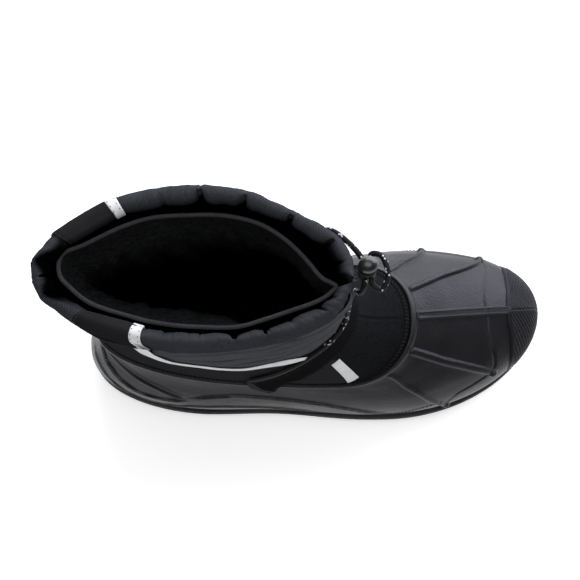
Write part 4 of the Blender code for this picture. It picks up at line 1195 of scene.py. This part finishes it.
# ---------------------------------------------------------------- reflective strip and patch
def ribbon(name, th, v, width, off, mat, lift=0.35, across=9, tilt=0.0):
    """A narrow band lying on the upper along a line of (angle, height)."""
    c = surf(th, v, 0.0)
    tan = np.gradient(c, axis=0)
    tan /= np.linalg.norm(tan, axis=1, keepdims=True)
    nor = normal(th, v)
    side = np.cross(nor, tan)
    side /= np.linalg.norm(side, axis=1, keepdims=True)
    t = np.linspace(-0.5, 0.5, across)
    crown = lift * (1 - (2 * np.abs(t)) ** 4)
    P = (c[None] + side[None] * (t[:, None] * np.broadcast_to(width, (len(th),))[None, :])[..., None]
         + nor[None] * (np.broadcast_to(off, (len(th),))[None, :] + crown[:, None]
                         + np.broadcast_to(tilt, (len(th),))[None, :] * (0.5 - t[:, None]))[..., None])
    return grid(name, P, mat)


STRIP = np.array([  # angle, height, width in mm, how far its lower edge stands out in mm
    (67.4, 1.966, 7.8, 0.0), (67.5, 1.93, 7.6, 0.0), (67.7, 1.87, 7.2, 0.1), (68.0, 1.80, 6.4, 0.2), (68.5, 1.71, 5.4, 0.3), (69.8, 1.655, 4.8, 0.4),
    (73, 1.62, 4.6, 0.5), (77, 1.585, 4.4, 0.5), (80.8, 1.53, 4.4, 0.5), (86.6, 1.50, 4.4, 0.5), (93, 1.513, 4.4, 0.6),
    (99, 1.53, 4.6, 0.9), (106, 1.543, 5.2, 1.3), (113, 1.542, 5.6, 1.6), (118, 1.523, 4.8, 1.2), (122, 1.500, 3.8, 0.5), (124.2, 1.489, 3.4, 0.3)])
for tag, flip in (("outer", False), ("inner", True)):
    line = STRIP.copy()
    if flip:  # the inner tab lies further back
        line[:, 0] -= 6.9 * smooth(1.62, 1.93, line[:, 1])
    fine = along(np.stack([line[:, 0], line[:, 1] * 100, line[:, 2], line[:, 3]], -1), 260)
    a = 360.0 - fine[:, 0] if flip else fine[:, 0]
    if flip:
        a, vv, wd, tl = a[::-1], fine[::-1, 1] / 100, fine[::-1, 2], fine[::-1, 3]
    else:
        vv, wd, tl = fine[:, 1] / 100, fine[:, 2], fine[:, 3]
    finish_piece(ribbon("reflective_strip_" + tag, a, vv, wd, 1.0 + 0.4 * smooth(1.60, 1.72, vv) - 0.9 * smooth(1.86, 1.95, vv)
                        - 0.9 * smooth(121.5, 126, np.minimum(a, 360 - a)), WHITE_M, tilt=tl))


def build_patch():
    """Reflective patch on the vamp between the strap and the binding."""
    top, low = [(118.8, 1.286), (128.8, 1.303)], [(96.0, 1.026), (110.2, 1.065)]
    s, t = np.meshgrid(np.linspace(0, 1, 40), np.linspace(0, 1, 14), indexing="ij")
    a = (top[0][0] * (1 - t) + top[1][0] * t) * (1 - s) + (low[0][0] * (1 - t) + low[1][0] * t) * s
    v = (top[0][1] * (1 - t) + top[1][1] * t) * (1 - s) + (low[0][1] * (1 - t) + low[1][1] * t) * s
    edge = np.minimum(np.minimum(s, 1 - s) * 40 / 1.5, np.minimum(t, 1 - t) * 14 / 1.2)
    P = surf(a, v, skin_off(v) + 0.25 + 0.5 * np.clip(edge, 0, 1))
    finish_piece(grid("reflective_patch", P[::-1], WHITE_M))


build_patch()


# ---------------------------------------------------------------- strap
def strap_lines(count):
    mark = np.arange(len(STRAP), dtype=float)
    fine = np.linspace(0, mark[-1], count)
    half = np.stack([hermite(mark, STRAP[:, k], fine, k > 1) for k in range(4)], -1)
    back = np.stack([360 - half[:, 0], half[:, 1], 360 - half[:, 2], half[:, 3]], -1)[-2::-1]
    return np.concatenate([half, back])


def build_strap():
    lines = strap_lines(180)
    share = np.linspace(0, 1, 34)
    a = lines[:, 0][None] + (lines[:, 2] - lines[:, 0])[None] * share[:, None]
    v = lines[:, 1][None] + (lines[:, 3] - lines[:, 1])[None] * share[:, None]
    wide = np.linalg.norm(surf(lines[:, 0], lines[:, 1], 0) - surf(lines[:, 2], lines[:, 3], 0), axis=1)
    d = np.minimum(share[:, None], 1 - share[:, None]) * wide[None]
    ends = np.minimum(np.arange(len(lines)), np.arange(len(lines))[::-1])[None] * 0.9
    edge = np.minimum(d, ends)
    roll = np.sqrt(np.clip(1 - (1 - np.clip(edge / 1.1, 0, 1)) ** 2, 0, 1))
    thread_dip = 0.25 * np.exp(-((d - 2.0) / 0.45) ** 2)
    soft = 0.15 * noise2(np.arange(len(lines))[None] / 90.0, share[:, None] * 0.8, 31)
    off = over_off(v) + 0.4 + 0.7 + (STRAP_THICK - 0.7) * roll - thread_dip + soft * roll
    P = surf(a, v, off)
    under = surf(a, v, over_off(v) + 0.4)
    full = np.concatenate([under[:1], P, under[-1:]])
    left, right = np.concatenate([under[:1, :1], under[:, :1], under[-1:, :1]]), np.concatenate([under[:1, -1:], under[:, -1:], under[-1:, -1:]])
    full = np.concatenate([left, full, right], 1)[::-1]
    run = np.minimum(np.arange(full.shape[1]), np.arange(full.shape[1])[::-1])
    # the strap's ends take the lighter material: painted light
    lit_ends = np.broadcast_to((run[:-1] < 26)[None, :], (full.shape[0] - 1, full.shape[1] - 1))
    ob = grid("strap_band", full, [STRAP_M, STRAP_END_LIT_M], index=lit_ends.astype(int).ravel())
    finish_piece(ob, nodes=["strap"])
    # edge stitching, with a box of stitches at each fixed end
    nor = normal(a, v)
    for tag, row in (("upper", 3), ("lower", 30)):
        finish_piece(stitches("strap_stitch_" + tag, P[row, 6:-6], nor[row, 6:-6], THREAD_M, 2.0, 1.0, 0.6, 0.3))
    for tag, col in (("outer", 7), ("inner", -8), ("outer_in", 24), ("inner_in", -25)):
        finish_piece(stitches("strap_end_" + tag, P[4:30, col], nor[4:30, col], THREAD_GREY_M, 1.4, 1.0, 0.6, 0.3))


build_strap()

# ---------------------------------------------------------------- lining, piping, facing, footbed
PIPING = np.array([  # angle, inset of the lining's top edge from the outline
    (-20, 9.8), (-8, 11.0), (2.5, 12.8), (12.3, 15.2), (33.6, 16.2), (52.7, 16.6), (68.6, 15.0), (88.4, 12.9), (108.9, 11.4),
    (120.5, 13.8), (144.9, 17.4), (160, 16.6), (168, 14.8), (174.5, 12.8), (180.5, 10.6), (184.5, 12.6), (189, 15.8), (195, 17.4),
    (202.9, 17.6), (214, 16.8), (224.2, 15.5), (239.8, 14.0), (248.7, 14.2),
    (269.8, 14.8), (291.2, 13.6), (305.5, 14.6), (316.6, 15.2), (328.9, 14.0), (340, 9.8), (352, 11.0), (362.5, 12.8)])
RING_V = 1.955


def build_lining():
    th = np.arange(0, 360, 0.75)
    ring = hermite(PIPING[:, 0], PIPING[:, 1], th)
    # piping
    p = env(th, RING_V, ring)
    p[:, 2] += 0.5 * np.sin(np.radians(th) * 5 + 0.6)
    P = tube_points(p, 1.25, 18, closed=True)
    finish_piece(grid("lining_piping", P.transpose(1, 0, 2), PIPING_M, closed=True))
    # fleece from the piping down to the footbed
    depth = np.concatenate([np.linspace(0, 0.12, 14), np.linspace(0.14, 1, 58)])
    V = RING_V - (RING_V - 0.10) * depth
    wall = np.interp(V, [0.0, 0.1, 0.8, 0.95, 1.05, 1.3, 1.7, 2.0], [6.6, 6.6, 6.6, 7.5, 8.0, 7.0, 7.0, 8.5])
    blend = smooth(0.0, 0.30, depth)
    inset = ring[None] * (1 - blend[:, None]) + wall[:, None] * blend[:, None]
    lean = 5.5 * np.sin(math.pi * np.clip(depth / 0.26, 0, 1))[:, None] * (0.6 + 0.4 * np.cos(np.radians(th - 60)))[None]
    # along the near side the lining's upper edge leans in
    slack = smooth(-30, 15, (th + 60) % 360 - 60) * (1 - smooth(80, 125, (th + 60) % 360 - 60))
    lean = lean + (9.0 * smooth(0.0, 0.05, depth) * (1 - smooth(0.10, 0.30, depth)))[:, None] * slack[None]
    T = np.broadcast_to(th, inset.shape)
    fold = np.abs((T + 180) % 360 - 180)
    crumple = noise2(T / 7.0, depth[:, None] * 26.0, 17) * np.exp(-(fold / 26.0) ** 2) * 1.6
    soft = noise2(T / 26.0, depth[:, None] * 9.0, 19) * 0.8
    drop = smooth(0.02, 0.10, depth)[:, None]
    P = env(T, np.broadcast_to(V[:, None], T.shape), inset + (lean + crumple + soft) * drop + 0.7)
    P[0, :, 2] += 0.2
    # deep: painted shade, darker deeper into the boot, where the near side leans in, and at the back
    waver = 0.022 * noise2(T / 11.0, depth[:, None] * 0.0, 29)
    deep = np.maximum(smooth(0.055, 0.235, depth[:, None] + waver), 0.5 * slack[None])
    deep = np.maximum(deep, 0.95 * smooth(0.03, 0.13, depth)[:, None] * np.exp(-(fold / 34.0) ** 2))
    finish_piece(grid("lining_fleece_wall", P, LINING_M, closed=True, points={"deep": deep}))
    line, nor = P[3], -grid_normals(P)[3]
    nor = np.where((nor * (np.array([86.0, 2.0, 0.0]) - line)).sum(1, keepdims=True) > 0, nor, -nor)
    finish_piece(stitches("lining_stitch", line, nor, THREAD_M, 1.8, 1.0, 0.6, 0.3))
    # the lining's outer face, and the dark valley between it and the collar, as a near-black sheet: painted shade
    rows = [env(th, 1.83, 4.6), env(th, 1.80, 5.2), env(th, 1.79, np.maximum(ring - 3.5, 6.0)), env(th, 1.84, ring - 0.9), env(th, 1.90, ring - 0.8), env(th, RING_V, ring - 0.6)]
    finish_piece(grid("collar_valley_shade_sheet", np.array(rows), SHADE_BLACK_M, closed=True))


build_lining()


def build_footbed():
    th = np.arange(0, 360, 2.0)
    edge = env(th, 0.0, SHELL_WALL + 1.4)
    mid = np.stack([np.clip(edge[:, 0], 42, 258), 3.0 * smooth(180, 260, edge[:, 0])], -1)
    rows = []
    for t in np.linspace(0, 1, 14):
        xy = mid * (1 - t) + edge[:, :2] * t
        z = SOLE_TOP + spring(xy[:, 0]) + CLEAR + INSOLE_THICK + 1.6 * smooth(0.72, 1.0, t)
        rows.append(np.concatenate([xy, z[:, None]], 1))
    rows.append(np.concatenate([edge[:, :2], (SOLE_TOP + spring(edge[:, 0]) + CLEAR)[:, None]], 1))
    finish_piece(grid("footbed", np.array(rows), FOOTBED_SHADE_M, closed=True), nodes=["insole"])


build_footbed()


# ---------------------------------------------------------------- cord lock
def lathe(name, profile, centre, mat, sides=72, stretch=(1.0, 1.0), flip=False):
    prof = np.asarray(profile, float)
    ang = np.linspace(0, 2 * math.pi, sides, endpoint=False)
    sx, sy = 1 + (stretch[0] - 1) * prof[:, 2], 1 + (stretch[1] - 1) * prof[:, 2]
    P = np.stack([centre[0] + (prof[:, 0] * sx)[:, None] * np.cos(ang), centre[1] + (prof[:, 0] * sy)[:, None] * np.sin(ang),
                  np.broadcast_to(prof[:, 1:2], (len(prof), sides))], -1)
    return grid(name, P, mat, closed=True)


def build_lock():
    z0, z1, r, bore = LOCK["z_low"], LOCK["z_rim"], LOCK["radius"], LOCK["bore"]
    c = (LOCK["x"], LOCK["y"])
    prof = [(0.05, z0, 0), (r - 1.3, z0, 0), (r - 0.7, z0 + 0.15, 0), (r - 0.25, z0 + 0.55, 0), (r, z0 + 1.3, 0), (r, z0 + 4.0, 0),
            (r - 0.12, z0 + 4.3, 0), (r - 0.12, z0 + 10.6, 0), (r, z0 + 10.9, 0), (r, z1 - 0.9, 0), (r - 0.15, z1 - 0.3, 0), (r - 0.5, z1, 0),
            (bore + 0.35, z1, 0), (bore + 0.1, z1 - 0.15, 0), (bore, z1 - 0.5, 0), (bore, z0 + 2.0, 0), (0.05, z0 + 2.0, 0)]
    finish_piece(lathe("lock_barrel", prof, c, BARREL_M), nodes=["cord_lock_barrel"])
    for tag, side in (("outer", -1), ("inner", 1)):      # collars round the cord holes
        for reach in (-2.0, 1.9):
            at = strand(side, reach) - np.array([0.0, side * 0.55, 0.0])
            ang = np.linspace(0, 2 * math.pi, 40, endpoint=False)
            ring = np.stack([at[0] + 1.75 * np.cos(ang), np.full(40, at[1]), at[2] + 1.75 * np.sin(ang)], -1)
            finish_piece(grid("lock_eyelet_%s_%d" % (tag, 1 if reach < 0 else 2), tube_points(ring, 0.32, 12, closed=True).transpose(1, 0, 2),
                              BARREL_M, closed=True))
    zc, top, stem = z1 + PRESS + 0.4, LOCK["z_top"], bore - CLEAR
    prof = [(0.05, z0 + 2.4 + PRESS, 0), (stem - 0.4, z0 + 2.4 + PRESS, 0), (stem, z0 + 2.8 + PRESS, 0), (stem, zc, 0), (4.7, zc, 1), (5.05, zc + 0.15, 1),
            (5.2, zc + 0.5, 1), (5.2, zc + 0.95, 1), (5.02, zc + 1.1, 1), (5.02, zc + 1.3, 1), (5.16, zc + 1.5, 1), (5.05, zc + 2.1, 1),
            (4.75, zc + 2.85, 1), (4.25, zc + 3.55, 1), (3.55, zc + 4.2, 1), (2.7, zc + 4.75, 1), (1.8, top - 0.22, 1), (0.9, top - 0.06, 1), (0.05, top, 1)]
    finish_piece(lathe("lock_button", prof, c, BUTTON_M, 84, (LOCK["cap_x"] / 5.2, LOCK["cap_y"] / 5.2)), "plunger",
                 ["cord_lock_plunger"])


build_lock()

# ---------------------------------------------------------------- floor and light
floor_m = Paint("floor_pale", rough=0.7, specular=0.2)
floor_m.colour(floor_m.mix(floor_m.noise(3.0, 3), (0.90, 0.90, 0.905), (0.92, 0.92, 0.922)))
floor_m.b.inputs["Emission Color"].default_value = (1.0, 1.0, 1.0, 1.0)
floor_m.b.inputs["Emission Strength"].default_value = 0.4
_f = bpy.data.meshes.new("floor")
_f.from_pydata([(-4, -4, 0), (4, -4, 0), (4, 4, 0), (-4, 4, 0)], [], [(0, 1, 2, 3)])
_f.materials.append(floor_m.m)
floor = link("floor", _f)
floor.location.z = -0.0002


def area(name, place, aim, size, power, colour=(1, 1, 1)):
    data = bpy.data.lights.new(name, "AREA")
    data.shape = "RECTANGLE"
    data.size, data.size_y = size
    data.energy = power
    data.color = colour
    ob = bpy.data.objects.new(name, data)
    bpy.context.scene.collection.objects.link(ob)
    ob.location = Vector(place)
    ob.rotation_euler = (Vector(aim) - ob.location).to_track_quat("-Z", "Y").to_euler()
    return ob


area("wall_back", (0.75, 1.25, 0.62), (0.05, 0.0, 0.08), (2.6, 1.2), 58, (0.91, 0.935, 1.0))
area("top", (-0.1, -0.15, 2.2), (0.0, 0.0, 0.0), (2.2, 2.0), 40)
world = bpy.data.worlds.new("studio")
world.use_nodes = True
world.node_tree.nodes["Background"].inputs[0].default_value = (1.0, 1.0, 1.0, 1.0)
world.node_tree.nodes["Background"].inputs[1].default_value = 0.08
bpy.context.scene.world = world
bpy.context.scene.view_settings.view_transform = "Standard"
